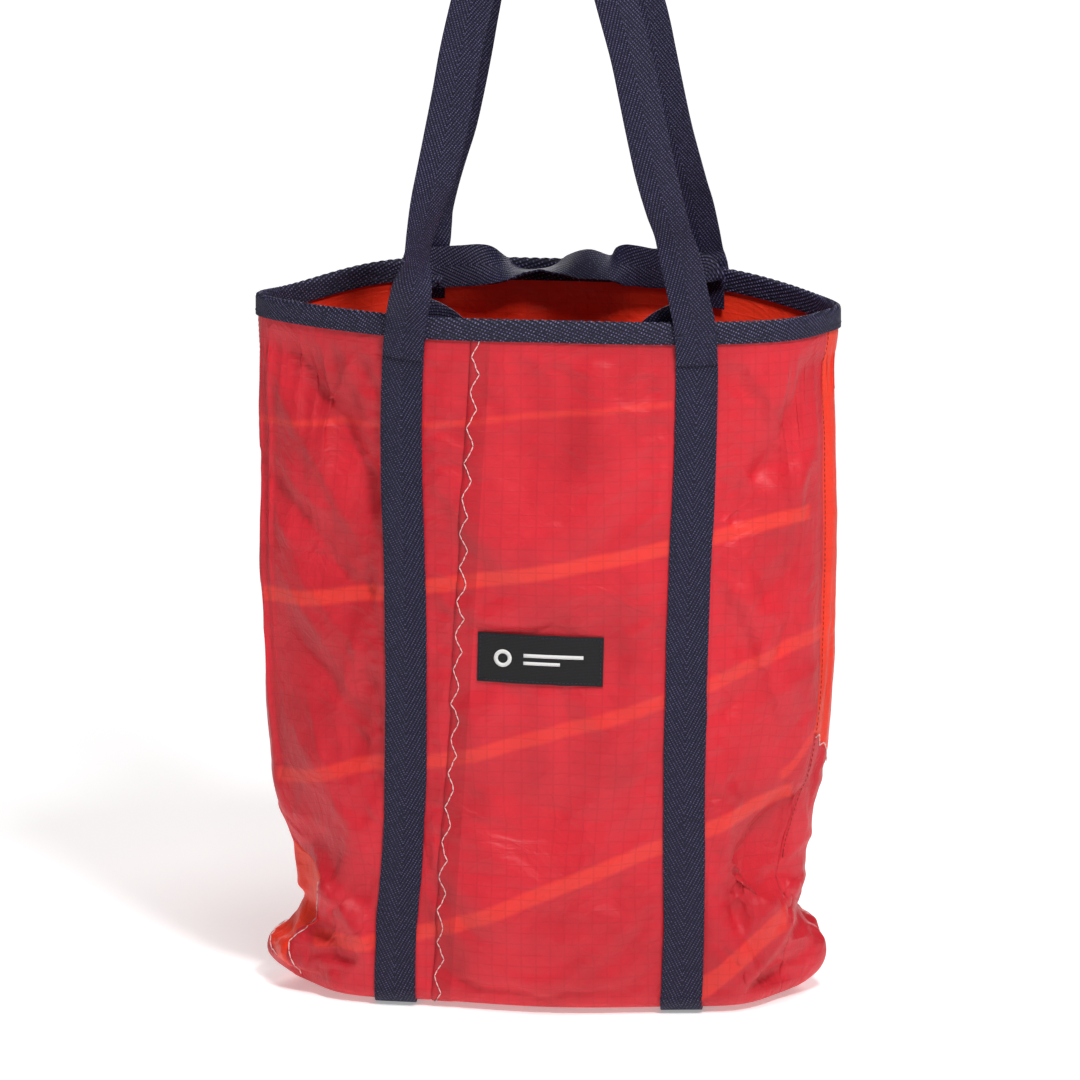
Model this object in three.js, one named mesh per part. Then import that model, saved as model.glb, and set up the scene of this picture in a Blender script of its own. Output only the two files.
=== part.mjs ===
// Foldable tote bag: ripstop cloth body, a folded webbing binding round the mouth, four straps sewn
// down its height, two long and two short webbing handles.
// Millimetres, +Z up. The bag stands on Z = 0, its front faces -Y and +X is to the right.
import * as THREE from 'three';
import { mergeVertices } from 'three/addons/utils/BufferGeometryUtils.js';

// ---------------------------------------------------------------- driving sizes
const BAG = {
  mouthWidth: 350,
  mouthDepth: 112,
  baseWidth: 300,
  baseDepth: 100,
  height: 430,
  bottomRadius: 20, // between the walls and the base
  drawnInTop: 215, // the sides draw in from this height
  drawnInBottom: 80, // down to this height, where they reach the base width
};
const FACETS = { // rows of facets along each piece
  front: 25, backLower: 13, backUpper: 20, strap: 34, tab: 4, longHandle: 60, hanging: 40, slack: 48,
  sideThread: 20, label: 8,
};
const EAR = { reach: 23, bottom: 4, top: 86 }; // bottom corners of the cloth, which stick out
const CLOTH = 1.2; // one layer of cloth, drawn thicker than real ripstop so that it is a sound solid
const WEBBING = { width: 25, thickness: 1.4 };
const GAP = 0.3; // between pieces that are sewn face to face
const SEAM_GAP = 0.4; // between the edges of two pieces of cloth

const STRAPS = {
  spacing: 172,
  centre: 6,
  foot: 1.2, // between a strap and the one that goes on under the base
  overEdge: 1, // a strap is clear of the binding this far below the binding's edge
};
const LONG_HANDLE = {
  rise: 292,
  crown: 54, // width of the crown between the two shoulders
  crownDrop: 40, // from the crown down to the shoulders
  bend: { inward: 0.72, drop: 11 }, // where the crown's curve is tightest
  foot: 6, // straight stretch above the rim
  lean: 5,
  standOff: 1.7,
  twistFrom: 0.55, // the webbing turns on edge between these shares of the rise
  twistTo: 0.97,
};
const SHORT_HANDLE = {
  drop: 50, // how far the front one hangs below the rim
  foot: 3, // straight stretch above the rim
  tab: 24, // length of its sewn ends
  tabGap: 0.7, // between those ends and the binding
  hingeGap: 0.9,
  slackRise: 14, // how far the back one's centre line stands above the rim
  slackSway: 7,
  slackLean: 3,
  slackTilt: 0.12, // how far its edge leans out of the upright, as a slope
};
const HINGE_RISE = 1.2; // the handles' hinge lines above the rim

const FRONT_SEAM = { top: -38, bottom: -63 }; // X of the seam that joins the two front pieces
const BACK_SEAM = { left: 62, right: 174 }; // Z of the seam that joins the two back pieces
const ZIGZAG = { width: 5.4, run: 10.8, thread: 1.2 };
const THREAD = { thickness: 0.6, rise: 0.5, sideRise: 0.9 }; // a line of stitches, stand-in size
const SIDE_STITCH = { inset: 4, width: 0.8, aboveEar: 6 };
const TACK = { height: 1.2, upper: 6.5, lower: 23, edge: 1.5 };
const LABEL = { width: 76, height: 31, centreX: 0, centreZ: 222, thickness: 0.6 };

// Plan of the bag as shares of its half width and half depth, starting at the left side seam and
// going round the front (-Y) to the right side seam and back along the rear.
const MOUTH_PLAN = [
  [-1.0, 0.02], [-0.965, -0.16], [-0.76, -0.55], [-0.42, -0.93], [0.04, -1.0], [0.48, -0.98],
  [0.84, -0.72], [0.965, -0.3], [1.0, -0.06], [0.93, 0.28], [0.55, 0.86], [0.0, 1.0],
  [-0.55, 0.86], [-0.94, 0.2],
];
const BASE_PLAN = [
  [-1.0, 0.0], [-0.96, -0.5], [-0.8, -0.92], [-0.42, -1.0], [0.04, -1.02], [0.48, -1.0],
  [0.82, -0.92], [0.965, -0.5], [1.0, 0.0], [0.93, 0.66], [0.55, 1.0], [0.0, 1.02],
  [-0.55, 1.0], [-0.93, 0.66],
];
const RIGHT_SEAM = 7; // place of the right side seam in both plans
const TURN = MOUTH_PLAN.length;
const LEFT_NOSE = 0;
const RIGHT_NOSE = 8;
const ROUND = 4 * TURN; // facets once round the bag, shared by everything that follows its outline
const BEND_ROWS = 5; // rows of facets round the bottom edge

// ---------------------------------------------------------------- places that follow from them
const STRAP_RISE = THREAD.rise + THREAD.thickness + GAP; // straps and label lie over the seams
const FLOOR = STRAP_RISE + WEBBING.thickness; // underside of the cloth, above the straps under it
const WALL_TOP = BAG.height - WEBBING.thickness - GAP; // top edge of the cloth inside its binding
const SIDE_LEFT = 0;
const SIDE_RIGHT = RIGHT_SEAM / TURN;
const LEFT_STRAP = STRAPS.centre - STRAPS.spacing / 2;
const RIGHT_STRAP = STRAPS.centre + STRAPS.spacing / 2;
const BINDING_OUT = GAP + WEBBING.thickness; // outer face of the binding, from the cloth's face
const BINDING_IN = CLOTH + GAP + WEBBING.thickness; // its inner face, measured inward
const STRAP_OVER_BINDING = BINDING_OUT + GAP;
const HINGE_Z = BAG.height + HINGE_RISE;

const { clamp, lerp, smoothstep } = THREE.MathUtils;

// ---------------------------------------------------------------- the bag's surface
const rings = new Map();

/** Closed outline of the cloth's outer face at height z. */
function ringAt(z) {
  if (!rings.has(z)) {
    const open = smoothstep(z, BAG.drawnInBottom, BAG.height);
    const wide = smoothstep(z, BAG.drawnInBottom, BAG.drawnInTop);
    const halfWidth = lerp(BAG.baseWidth, BAG.mouthWidth, wide) / 2;
    const halfDepth = lerp(BAG.baseDepth, BAG.mouthDepth, open) / 2;
    const along = clamp((z - EAR.bottom) / (EAR.top - EAR.bottom), 0, 1);
    const ear = EAR.reach * Math.sin(Math.PI * along) ** 2;
    const points = MOUTH_PLAN.map(([x, y], i) => {
      const place = new THREE.Vector3(
        lerp(BASE_PLAN[i][0], x, open) * halfWidth,
        lerp(BASE_PLAN[i][1], y, open) * halfDepth,
        z,
      );
      if (i === LEFT_NOSE) place.x -= ear;
      if (i === RIGHT_NOSE) place.x += ear;
      return place;
    });
    rings.set(z, new THREE.CatmullRomCurve3(points, true, 'centripetal'));
  }
  return rings.get(z);
}

/**
 * A point of the cloth's outer face. t goes once round the bag; s is the distance up the wall from
 * the top of the rounded bottom edge, and below zero it goes round that edge to the base.
 */
function skin(t, s) {
  const turn = Math.max(0, -s) / BAG.bottomRadius;
  const z = FLOOR + BAG.bottomRadius * (1 - Math.sin(turn)) + Math.max(0, s);
  const place = ringAt(z).getPoint(((t % 1) + 1) % 1);
  const spine = (BAG.baseWidth - BAG.baseDepth) / 2;
  const core = new THREE.Vector3(clamp(place.x, -spine, spine), 0, z);
  const inset = BAG.bottomRadius * (1 - Math.cos(turn));
  return place.add(core.sub(place).setLength(inset));
}

/** The point that stands `out` from the cloth's outer face, square to it. */
function onSkin(t, s, out) {
  const step = 1e-3;
  const along = skin(t + step, s).sub(skin(t - step, s));
  const up = skin(t, s + step).sub(skin(t, s - step));
  return skin(t, s).add(along.cross(up).setLength(out));
}

const heightToS = (z) => z - FLOOR - BAG.bottomRadius;

/** The place t on the front (side -1) or the back (side 1) whose X is x, at distance s up the wall. */
function placeAt(side, x, s) {
  let low = side < 0 ? SIDE_LEFT + 0.5 / TURN : 1 - 0.5 / TURN;
  let high = side < 0 ? SIDE_RIGHT : SIDE_RIGHT + 1.5 / TURN;
  for (let i = 0; i < 40; i++) {
    const middle = (low + high) / 2;
    if (skin(middle, s).x < x) low = middle;
    else high = middle;
  }
  return (low + high) / 2;
}

// ---------------------------------------------------------------- making solids
const group = new THREE.Group();

function add(name, geometry, colour, roughness = 0.6) {
  const material = new THREE.MeshStandardMaterial({ color: colour, roughness, metalness: 0 });
  const mesh = new THREE.Mesh(geometry, material);
  mesh.name = name;
  group.add(mesh);
}

/** A geometry's vertices, shared and moved: move(x, y, z) gives each one's new place. */
function moved(geometry, move) {
  geometry.deleteAttribute('normal');
  geometry.deleteAttribute('uv');
  const solid = mergeVertices(geometry);
  const place = solid.attributes.position;
  for (let i = 0; i < place.count; i++) {
    const to = move(place.getX(i), place.getY(i), place.getZ(i));
    place.setXYZ(i, to.x, to.y, to.z);
  }
  return solid;
}

/** A thin box laid on a surface: lay(u, v, w) takes u across, v along and w outward, each 0 to 1. */
function laid(columns, rows, lay) {
  const box = new THREE.BoxGeometry(1, 1, 1, columns, rows, 1);
  return moved(box, (x, y, z) => lay(x + 0.5, y + 0.5, z + 0.5));
}

const COLOURS = {
  red: '#d9404a', orange: '#f03c26', webbing: '#2c2d45', label: '#1d1b1f', thread: '#f3cfce',
  darkThread: '#20202f',
};

// ---------------------------------------------------------------- cloth
const BOTTOM = -BAG.bottomRadius * (Math.PI / 2) + SEAM_GAP; // s where a wall meets the base
const TOP = heightToS(WALL_TOP);
const frontSeamX = (s) => lerp(FRONT_SEAM.bottom, FRONT_SEAM.top, clamp(s / TOP, 0, 1));

/** s of the seam across the back, where x is at place t. */
function backSeamS(t) {
  const share = clamp(skin(t, heightToS(BACK_SEAM.right)).x / BAG.mouthWidth + 0.5, 0, 1);
  return heightToS(lerp(BACK_SEAM.left, BACK_SEAM.right, share));
}

/** Share of the way round the bag that a length of the outline takes, near a side seam. */
const shareOf = (length) => length / ringAt(BAG.height).getLength();
const EDGE = shareOf(SEAM_GAP / 2);

/** Rows of a wall from the base to s = top: v, 0 to 1, gives s, with close rows round the edge. */
function wallRow(v, rows, top) {
  const row = Math.round(v * rows);
  if (row <= BEND_ROWS) return lerp(BOTTOM, 0, row / BEND_ROWS);
  return lerp(0, top, (row - BEND_ROWS) / (rows - BEND_ROWS));
}

/** Facet edges from place a to place b: the outline's own from first to last, evenly spaced outside. */
function columnsBetween(a, b, first, last, before = 1, after = 1) {
  const places = [];
  for (let i = 0; i < before; i++) places.push(lerp(a, first / ROUND, i / before));
  for (let i = first; i <= last; i++) places.push(i / ROUND);
  for (let i = 1; i <= after; i++) places.push(lerp(last / ROUND, b, i / after));
  return places;
}

const pick = (list, share) => list[Math.round(share * (list.length - 1))];

/** A panel of the wall: columns(s) gives the places t of its facet edges at distance s up the wall. */
function wallPanel(rows, columns, rowAt) {
  const place = (u, v, w) => {
    const s = rowAt(v);
    return onSkin(pick(columns(s), u), s, CLOTH * (w - 1));
  };
  return laid(columns(0).length - 1, rows, place);
}

function addFrontPanels() {
  const rows = FACETS.front;
  const rowAt = (v) => wallRow(v, rows, TOP);
  const seam = (s, shift) => placeAt(-1, frontSeamX(s) + shift, s);
  const beside = [seam(0, 0), seam(TOP, 0)].map((t) => t * ROUND);
  const lastLeft = Math.floor(Math.min(...beside)) - 1;
  const firstRight = Math.ceil(Math.max(...beside)) + 1;
  const last = Math.round(SIDE_RIGHT * ROUND);
  const near = 3; // facets beside the seam, which slants across the outline's own
  const left = (s) => columnsBetween(SIDE_LEFT + EDGE, seam(s, -SEAM_GAP / 2), 1, lastLeft, 1, near);
  const right = (s) =>
    columnsBetween(seam(s, SEAM_GAP / 2), SIDE_RIGHT - EDGE, firstRight, last - 1, near, 1);
  add('front_panel_left', wallPanel(rows, left, rowAt), COLOURS.red, 0.5);
  add('front_panel_right', wallPanel(rows, right, rowAt), COLOURS.red, 0.5);
}

function addBackPanels() {
  const first = Math.round(SIDE_RIGHT * ROUND);
  const columns = columnsBetween(SIDE_RIGHT + EDGE, 1 - EDGE, first + 1, ROUND - 1);
  const lowerRows = FACETS.backLower;
  const lower = (u, v, w) => {
    const t = pick(columns, u);
    return onSkin(t, wallRow(v, lowerRows, backSeamS(t) - SEAM_GAP / 2), CLOTH * (w - 1));
  };
  const upper = (u, v, w) => {
    const t = pick(columns, u);
    return onSkin(t, lerp(backSeamS(t) + SEAM_GAP / 2, TOP, v), CLOTH * (w - 1));
  };
  add('back_panel_lower', laid(columns.length - 1, lowerRows, lower), COLOURS.red, 0.5);
  add('back_panel_upper', laid(columns.length - 1, FACETS.backUpper, upper), COLOURS.orange, 0.5);
}

/** The stretch of cloth that the bag stands on, inside the rounded bottom edge. */
function addBasePanel() {
  const edge = -BAG.bottomRadius * (Math.PI / 2);
  const outline = new THREE.Shape();
  for (let i = 0; i < ROUND; i++) {
    const place = skin(i / ROUND, edge);
    const inward = new THREE.Vector2(place.x, place.y);
    inward.setLength(inward.length() - SEAM_GAP);
    if (i === 0) outline.moveTo(inward.x, inward.y);
    else outline.lineTo(inward.x, inward.y);
  }
  const plate = new THREE.ExtrudeGeometry(outline, { depth: CLOTH, bevelEnabled: false });
  add('base_panel', moved(plate, (x, y, z) => new THREE.Vector3(x, y, z + FLOOR)), COLOURS.red, 0.5);
}

// ---------------------------------------------------------------- webbing on the cloth
/** Webbing folded in half over the top edge, all round the mouth, its ends at the left side seam. */
function addBinding() {
  const leg = WEBBING.width / 2;
  const t = WEBBING.thickness;
  const inner = -CLOTH - GAP;
  const section = new THREE.Shape();
  section.moveTo(GAP, -leg);
  section.lineTo(GAP + t, -leg);
  section.lineTo(GAP + t, -t / 2);
  section.lineTo(GAP + t / 2, 0);
  section.lineTo(inner - t / 2, 0);
  section.lineTo(inner - t, -t / 2);
  section.lineTo(inner - t, -leg);
  section.lineTo(inner, -leg);
  section.lineTo(inner, -t);
  section.lineTo(GAP, -t);
  const tape = new THREE.ExtrudeGeometry(section, { depth: 1, steps: ROUND, bevelEnabled: false });
  const rim = heightToS(BAG.height);
  const columns = columnsBetween(EDGE, 1 - EDGE, 1, ROUND - 1);
  const wrap = (x, y, z) => onSkin(pick(columns, 1 - z), rim, x).setZ(BAG.height + y);
  add('rim_binding', moved(tape, wrap), COLOURS.webbing, 0.75);
}

/** How far a strap's underside stands off the cloth at distance s up the wall. */
function strapRise(s) {
  const climbFrom = heightToS(BAG.height - WEBBING.width);
  const climbTo = heightToS(BAG.height - WEBBING.width / 2 - STRAPS.overEdge);
  return lerp(STRAP_RISE, STRAP_OVER_BINDING, smoothstep(s, climbFrom, climbTo));
}

/** Box from x0 to x1 and s0 to s1 on one side of the bag, with its underside at rise(s). */
function patch(side, x0, x1, s0, s1, rise, thickness, columns, rows) {
  const place = (u, v, w) => {
    const s = lerp(s0, s1, v);
    const x = side < 0 ? lerp(x0, x1, u) : lerp(x1, x0, u);
    return onSkin(placeAt(side, x, s), s, rise(s) + thickness * w);
  };
  return laid(columns, rows, place);
}

function addSewnStrap(side, x, name) {
  const half = WEBBING.width / 2;
  const top = heightToS(BAG.height);
  const rows = FACETS.strap;
  const strap = patch(side, x - half, x + half, STRAPS.foot, top, strapRise, WEBBING.thickness, 2, rows);
  add(name, strap, COLOURS.webbing, 0.75);
}

/** Webbing that runs under the base from the front strap to the back one. */
function addBaseStrap(x, name) {
  const bends = BEND_ROWS;
  const quarter = BAG.bottomRadius * (Math.PI / 2);
  const run = (v) => {
    const row = Math.round(v * (2 * bends + 1));
    const side = row <= bends ? -1 : 1;
    const share = row <= bends ? row / bends : (2 * bends + 1 - row) / bends;
    return { side, s: -quarter * share };
  };
  const half = WEBBING.width / 2;
  const under = (u, v, w) => {
    const { side, s } = run(v);
    const out = STRAP_RISE + WEBBING.thickness * (1 - w);
    return onSkin(placeAt(side, lerp(x - half, x + half, u), s), s, out);
  };
  add(name, laid(2, 2 * bends + 1, under), COLOURS.webbing, 0.75);
}

function addTacks(side, x, name) {
  const half = WEBBING.width / 2 - TACK.edge;
  for (const [row, below] of [['upper', TACK.upper], ['lower', TACK.lower]]) {
    const s = heightToS(BAG.height - below);
    const rise = (at) => strapRise(at) + WEBBING.thickness + GAP;
    const bar = patch(side, x - half, x + half, s, s + TACK.height, rise, THREAD.thickness, 2, 1);
    add(`${name}_tack_${row}`, bar, COLOURS.darkThread, 0.8);
  }
}

function addLabel() {
  const s0 = heightToS(LABEL.centreZ - LABEL.height / 2);
  const x0 = LABEL.centreX - LABEL.width / 2;
  const s1 = s0 + LABEL.height;
  const rise = () => STRAP_RISE;
  const flat = patch(-1, x0, x0 + LABEL.width, s0, s1, rise, LABEL.thickness, FACETS.label, 2);
  add('label', flat, COLOURS.label, 0.7);
}

// ---------------------------------------------------------------- lines of stitches
const zigzag = (step) => (step % 2 === 0 ? 0.5 : -0.5) * ZIGZAG.width;

function addSeamThreads() {
  const high = TOP - WEBBING.width / 2; // the lower edge of the binding
  const frontRuns = Math.round(high / ZIGZAG.run);
  const front = (u, v, w) => {
    const s = lerp(0, high, v);
    const x = frontSeamX(s) + zigzag(Math.round(v * frontRuns)) + (u - 0.5) * ZIGZAG.thread;
    return onSkin(placeAt(-1, x, s), s, THREAD.rise + THREAD.thickness * w);
  };
  add('front_seam_thread', laid(1, frontRuns, front), COLOURS.thread, 0.6);

  const start = SIDE_RIGHT + shareOf(SIDE_STITCH.inset * 2);
  const end = 1 - shareOf(SIDE_STITCH.inset * 2);
  const backRuns = Math.round(BAG.mouthWidth / ZIGZAG.run);
  const back = (u, v, w) => {
    const t = lerp(start, end, u);
    const s = backSeamS(t) + zigzag(Math.round(u * backRuns)) + (v - 0.5) * ZIGZAG.thread;
    return onSkin(t, s, THREAD.rise + THREAD.thickness * w);
  };
  add('back_seam_thread', laid(backRuns, 1, back), COLOURS.thread, 0.6);
}

/** Topstitching down each side seam, on the back piece, which wraps round to it. */
function addSideThreads() {
  const low = heightToS(EAR.top + SIDE_STITCH.aboveEar);
  const high = TOP - WEBBING.width / 2;
  const line = (from, towards) => (u, v, w) => {
    const t = from + towards * shareOf(SIDE_STITCH.inset + (u - 0.5) * SIDE_STITCH.width * towards);
    return onSkin(t, lerp(low, high, v), THREAD.sideRise + THREAD.thickness * w);
  };
  const rows = FACETS.sideThread;
  add('side_seam_thread_left', laid(1, rows, line(1, -1)), COLOURS.darkThread, 0.7);
  add('side_seam_thread_right', laid(1, rows, line(SIDE_RIGHT, 1)), COLOURS.darkThread, 0.7);
}

// ---------------------------------------------------------------- handles
/**
 * A strip of webbing along a path. stations are {at, across}: points of its centre line, and the
 * direction of its width there.
 */
function webbingStrip(stations, rows) {
  const centre = new THREE.CatmullRomCurve3(stations.map((p) => p.at), false, 'centripetal');
  const widths = new THREE.CatmullRomCurve3(stations.map((p) => p.across), false, 'centripetal');
  const place = (u, v, w) => {
    const middle = centre.getPoint(v);
    const tangent = centre.getTangent(v);
    const across = widths.getPoint(v);
    across.addScaledVector(tangent, -across.dot(tangent)).normalize();
    const face = across.clone().cross(tangent);
    middle.addScaledVector(across, (u - 0.5) * WEBBING.width);
    return middle.addScaledVector(face, (w - 0.5) * WEBBING.thickness);
  };
  return laid(2, rows, place);
}

/** Y of a layer that stands `out` from the cloth at the rim, at the strap's X. */
function rimY(side, x, out) {
  const s = heightToS(BAG.height);
  return onSkin(placeAt(side, x, s), s, out).y;
}

const vector = (x, y, z) => new THREE.Vector3(x, y, z);

/** Distances from the middle of the bag to a layer that stands `out` from the cloth, at the straps. */
function strapDepths(side, out) {
  const half = WEBBING.width / 2;
  const edges = [LEFT_STRAP, RIGHT_STRAP].flatMap((x) => [x - half, x, x + half]);
  return edges.map((x) => side * rimY(side, x, out));
}

/** Depth of the long handles' hinges, outside every strap, the same at the front and the back. */
function longHingeY(side) {
  const out = STRAP_OVER_BINDING + WEBBING.thickness / 2 + LONG_HANDLE.standOff;
  return side * Math.max(...strapDepths(-1, out), ...strapDepths(1, out));
}

/** Long handle: two legs that stand up from the rim and turn over into a crown. */
function addLongHandle(side, name) {
  const foot = longHingeY(side);
  const half = STRAPS.spacing / 2;
  const crown = LONG_HANDLE.crown / 2;
  const shoulder = LONG_HANDLE.rise - LONG_HANDLE.crownDrop;
  const { foot: straight, bend, rise: top } = LONG_HANDLE;
  const leg = (share) => [lerp(half, crown, share), lerp(straight, shoulder, share)];
  const crownBend = [crown * bend.inward, top - bend.drop];
  const outline = [[half, 0], leg(0), leg(1 / 3), leg(2 / 3), leg(1), crownBend, [0, top]];
  const station = (x, rise, sign) => {
    const share = rise / LONG_HANDLE.rise;
    const twist = (Math.PI / 2) * smoothstep(share, LONG_HANDLE.twistFrom, LONG_HANDLE.twistTo);
    return {
      at: vector(STRAPS.centre + sign * x, foot - side * LONG_HANDLE.lean * share, HINGE_Z + rise),
      across: vector(Math.cos(twist), sign * Math.sin(twist), 0),
    };
  };
  const up = outline.map(([x, rise]) => station(x, rise, -1));
  const down = outline.slice(0, -1).reverse().map(([x, rise]) => station(x, rise, 1));
  down.forEach((p) => p.across.multiplyScalar(-1));
  add(name, webbingStrip([...up, ...down], FACETS.longHandle), COLOURS.webbing, 0.75);
}

/** The sewn end of a short handle, inside the mouth against the binding. */
function addShortTab(side, x, name) {
  const half = WEBBING.width / 2;
  const top = heightToS(BAG.height);
  const under = -BINDING_IN - SHORT_HANDLE.tabGap - WEBBING.thickness;
  const low = top - SHORT_HANDLE.tab;
  const rise = () => under;
  const tab = patch(side, x - half, x + half, low, top, rise, WEBBING.thickness, 2, FACETS.tab);
  add(name, tab, COLOURS.webbing, 0.75);
}

/** Depth of the short handles' hinge, inside their tabs. */
function shortHingeY(side) {
  const tabFace = BINDING_IN + SHORT_HANDLE.tabGap + WEBBING.thickness;
  const out = -tabFace - SHORT_HANDLE.hingeGap - WEBBING.thickness / 2;
  return side * Math.min(...strapDepths(side, out));
}

/** Front short handle: it hangs down inside the mouth in half an oval. */
function addShortHandleFront() {
  const y = shortHingeY(-1);
  const half = STRAPS.spacing / 2;
  const steps = 12;
  const stations = [];
  for (let i = 0; i <= steps; i++) {
    const turn = (Math.PI * i) / steps;
    const out = vector(-Math.cos(turn), 0, -Math.sin(turn));
    const at = vector(STRAPS.centre + half * out.x, y, HINGE_Z + SHORT_HANDLE.drop * out.z);
    stations.push({ at, across: out.clone().negate() });
  }
  add('short_handle_front', webbingStrip(stations, FACETS.hanging), COLOURS.webbing, 0.75);
}

/** Back short handle: it lies slack on its edge along the top of the rim. */
function addShortHandleBack() {
  const y = shortHingeY(1);
  const half = STRAPS.spacing / 2;
  const bend = SHORT_HANDLE.slackRise;
  const steps = 10;
  const foot = (x, direction) =>
    [0, SHORT_HANDLE.foot].map((up) => ({ at: vector(x, y, HINGE_Z + up), across: vector(direction, 0, 0) }));
  const stations = foot(LEFT_STRAP, 1);
  for (let i = 0; i <= steps; i++) {
    const share = i / steps;
    const x = LEFT_STRAP + bend + (2 * half - 2 * bend) * share;
    const sway = SHORT_HANDLE.slackSway * Math.sin(3 * Math.PI * share) ** 2;
    const at = vector(x, y + SHORT_HANDLE.slackLean + sway, HINGE_Z + bend);
    stations.push({ at, across: vector(0, -SHORT_HANDLE.slackTilt, -1) });
  }
  stations.push(...foot(RIGHT_STRAP, -1).reverse());
  add('short_handle_back', webbingStrip(stations, FACETS.slack), COLOURS.webbing, 0.75);
}

// ---------------------------------------------------------------- the bag
addFrontPanels();
addBackPanels();
addBasePanel();
addBinding();
for (const [x, hand] of [[LEFT_STRAP, 'left'], [RIGHT_STRAP, 'right']]) {
  for (const [side, face] of [[-1, 'front'], [1, 'back']]) {
    addSewnStrap(side, x, `${face}_strap_${hand}`);
    addTacks(side, x, `${face}_${hand}`);
    addShortTab(side, x, `short_handle_${face}_tab_${hand}`);
  }
  addBaseStrap(x, `base_strap_${hand}`);
}
addLabel();
addSeamThreads();
addSideThreads();
addLongHandle(-1, 'long_handle_front');
addLongHandle(1, 'long_handle_back');
addShortHandleFront();
addShortHandleBack();

export default group;
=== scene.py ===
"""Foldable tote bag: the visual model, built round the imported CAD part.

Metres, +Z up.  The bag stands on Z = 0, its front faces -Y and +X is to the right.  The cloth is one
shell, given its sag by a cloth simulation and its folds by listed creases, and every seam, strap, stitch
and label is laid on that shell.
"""

import sys
import logging
import math
from collections.abc import Callable, Sequence
from dataclasses import dataclass
from enum import Enum

import bmesh
import bpy
import numpy as np
from mathutils import Matrix, Vector, noise


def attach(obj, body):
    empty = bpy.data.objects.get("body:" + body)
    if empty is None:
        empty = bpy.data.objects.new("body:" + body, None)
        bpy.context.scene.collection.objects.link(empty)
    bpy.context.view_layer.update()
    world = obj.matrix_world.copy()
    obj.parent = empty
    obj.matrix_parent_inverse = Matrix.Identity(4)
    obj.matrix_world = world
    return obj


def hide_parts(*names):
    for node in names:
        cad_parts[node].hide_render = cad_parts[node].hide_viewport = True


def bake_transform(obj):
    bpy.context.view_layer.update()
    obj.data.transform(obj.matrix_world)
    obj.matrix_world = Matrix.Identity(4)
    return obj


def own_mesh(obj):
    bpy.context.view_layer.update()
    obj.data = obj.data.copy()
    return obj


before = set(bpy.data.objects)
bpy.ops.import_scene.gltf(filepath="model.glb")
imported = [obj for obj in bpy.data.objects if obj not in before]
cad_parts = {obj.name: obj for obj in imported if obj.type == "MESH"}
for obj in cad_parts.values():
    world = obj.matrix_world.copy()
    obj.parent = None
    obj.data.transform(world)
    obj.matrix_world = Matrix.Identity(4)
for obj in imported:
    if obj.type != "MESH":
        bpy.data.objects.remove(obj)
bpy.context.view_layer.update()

MM = 0.001
Array = np.ndarray
log = logging.getLogger("tote")


class Side(Enum):
    """The two faces of the bag, by the sign of their Y."""

    FRONT = -1
    BACK = 1


class Hand(Enum):
    """The two straps of a face, seen from the front."""

    LEFT = "left"
    RIGHT = "right"


# ------------------------------------------------------------------------------------ small sums


def smoothstep(x: Array, low: float, high: float) -> Array:
    """A smooth climb from 0 at low to 1 at high.

    Args:
        x: The values.
        low: Where the climb starts.
        high: Where it ends.

    Returns:
        The share climbed at each value.
    """
    share = np.clip((np.asarray(x, float) - low) / (high - low), 0.0, 1.0)
    return share * share * (3 - 2 * share)


def along_points(x: Array, points: Sequence[tuple[float, float]]) -> Array:
    """A smooth curve through (place, value) points, flat past both ends.

    Args:
        x: The places where the value is wanted.
        points: The points, in rising order of place.

    Returns:
        The values.
    """
    places, values = (np.array(column, float) for column in zip(*points))
    x = np.clip(np.asarray(x, float), places[0], places[-1])
    i = np.clip(np.searchsorted(places, x, side="right") - 1, 0, len(places) - 2)
    slopes = np.gradient(values, places)
    span = places[i + 1] - places[i]
    h = (x - places[i]) / span
    return (
        values[i] * (2 * h**3 - 3 * h**2 + 1)
        + slopes[i] * span * (h**3 - 2 * h**2 + h)
        + values[i + 1] * (3 * h**2 - 2 * h**3)
        + slopes[i + 1] * span * (h**3 - h**2)
    )


def centripetal(p0: Array, p1: Array, p2: Array, p3: Array, h: Array) -> Array:
    """A point of a centripetal Catmull-Rom curve between p1 and p2.

    Args:
        p0: The point before p1.
        p1: The start of the stretch.
        p2: The end of the stretch.
        p3: The point after p2.
        h: How far along the stretch, 0 to 1.

    Returns:
        The point.
    """
    gaps = [
        np.maximum(((b - a) ** 2).sum(-1, keepdims=True) ** 0.25, 1e-6)
        for a, b in ((p0, p1), (p1, p2), (p2, p3))
    ]
    d0, d1, d2 = gaps
    m1 = ((p1 - p0) / d0 - (p2 - p0) / (d0 + d1) + (p2 - p1) / d1) * d1
    m2 = ((p2 - p1) / d1 - (p3 - p1) / (d1 + d2) + (p3 - p2) / d2) * d1
    h = h[..., None]
    bend = (-3 * p1 + 3 * p2 - 2 * m1 - m2) * h**2
    return p1 + m1 * h + bend + (2 * p1 - 2 * p2 + m1 + m2) * h**3


def unit(v: Array) -> Array:
    """Vectors of length 1 in the same directions."""
    return v / np.maximum(np.linalg.norm(v, axis=-1, keepdims=True), 1e-12)


# ------------------------------------------------------------------------------------ the shell


@dataclass(frozen=True)
class BagSizes:
    """Sizes of the bag's body, in metres, the same as the CAD part's."""

    mouth_width: float = 0.350
    mouth_depth: float = 0.112
    base_width: float = 0.300
    base_depth: float = 0.106
    height: float = 0.430
    bottom_radius: float = 0.009
    drawn_in: float = 0.080
    floor: float = 0.0027
    back_arch: float = 0.009
    webbing: float = 0.025
    webbing_thick: float = 0.0012
    cloth_thick: float = 0.0004


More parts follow.
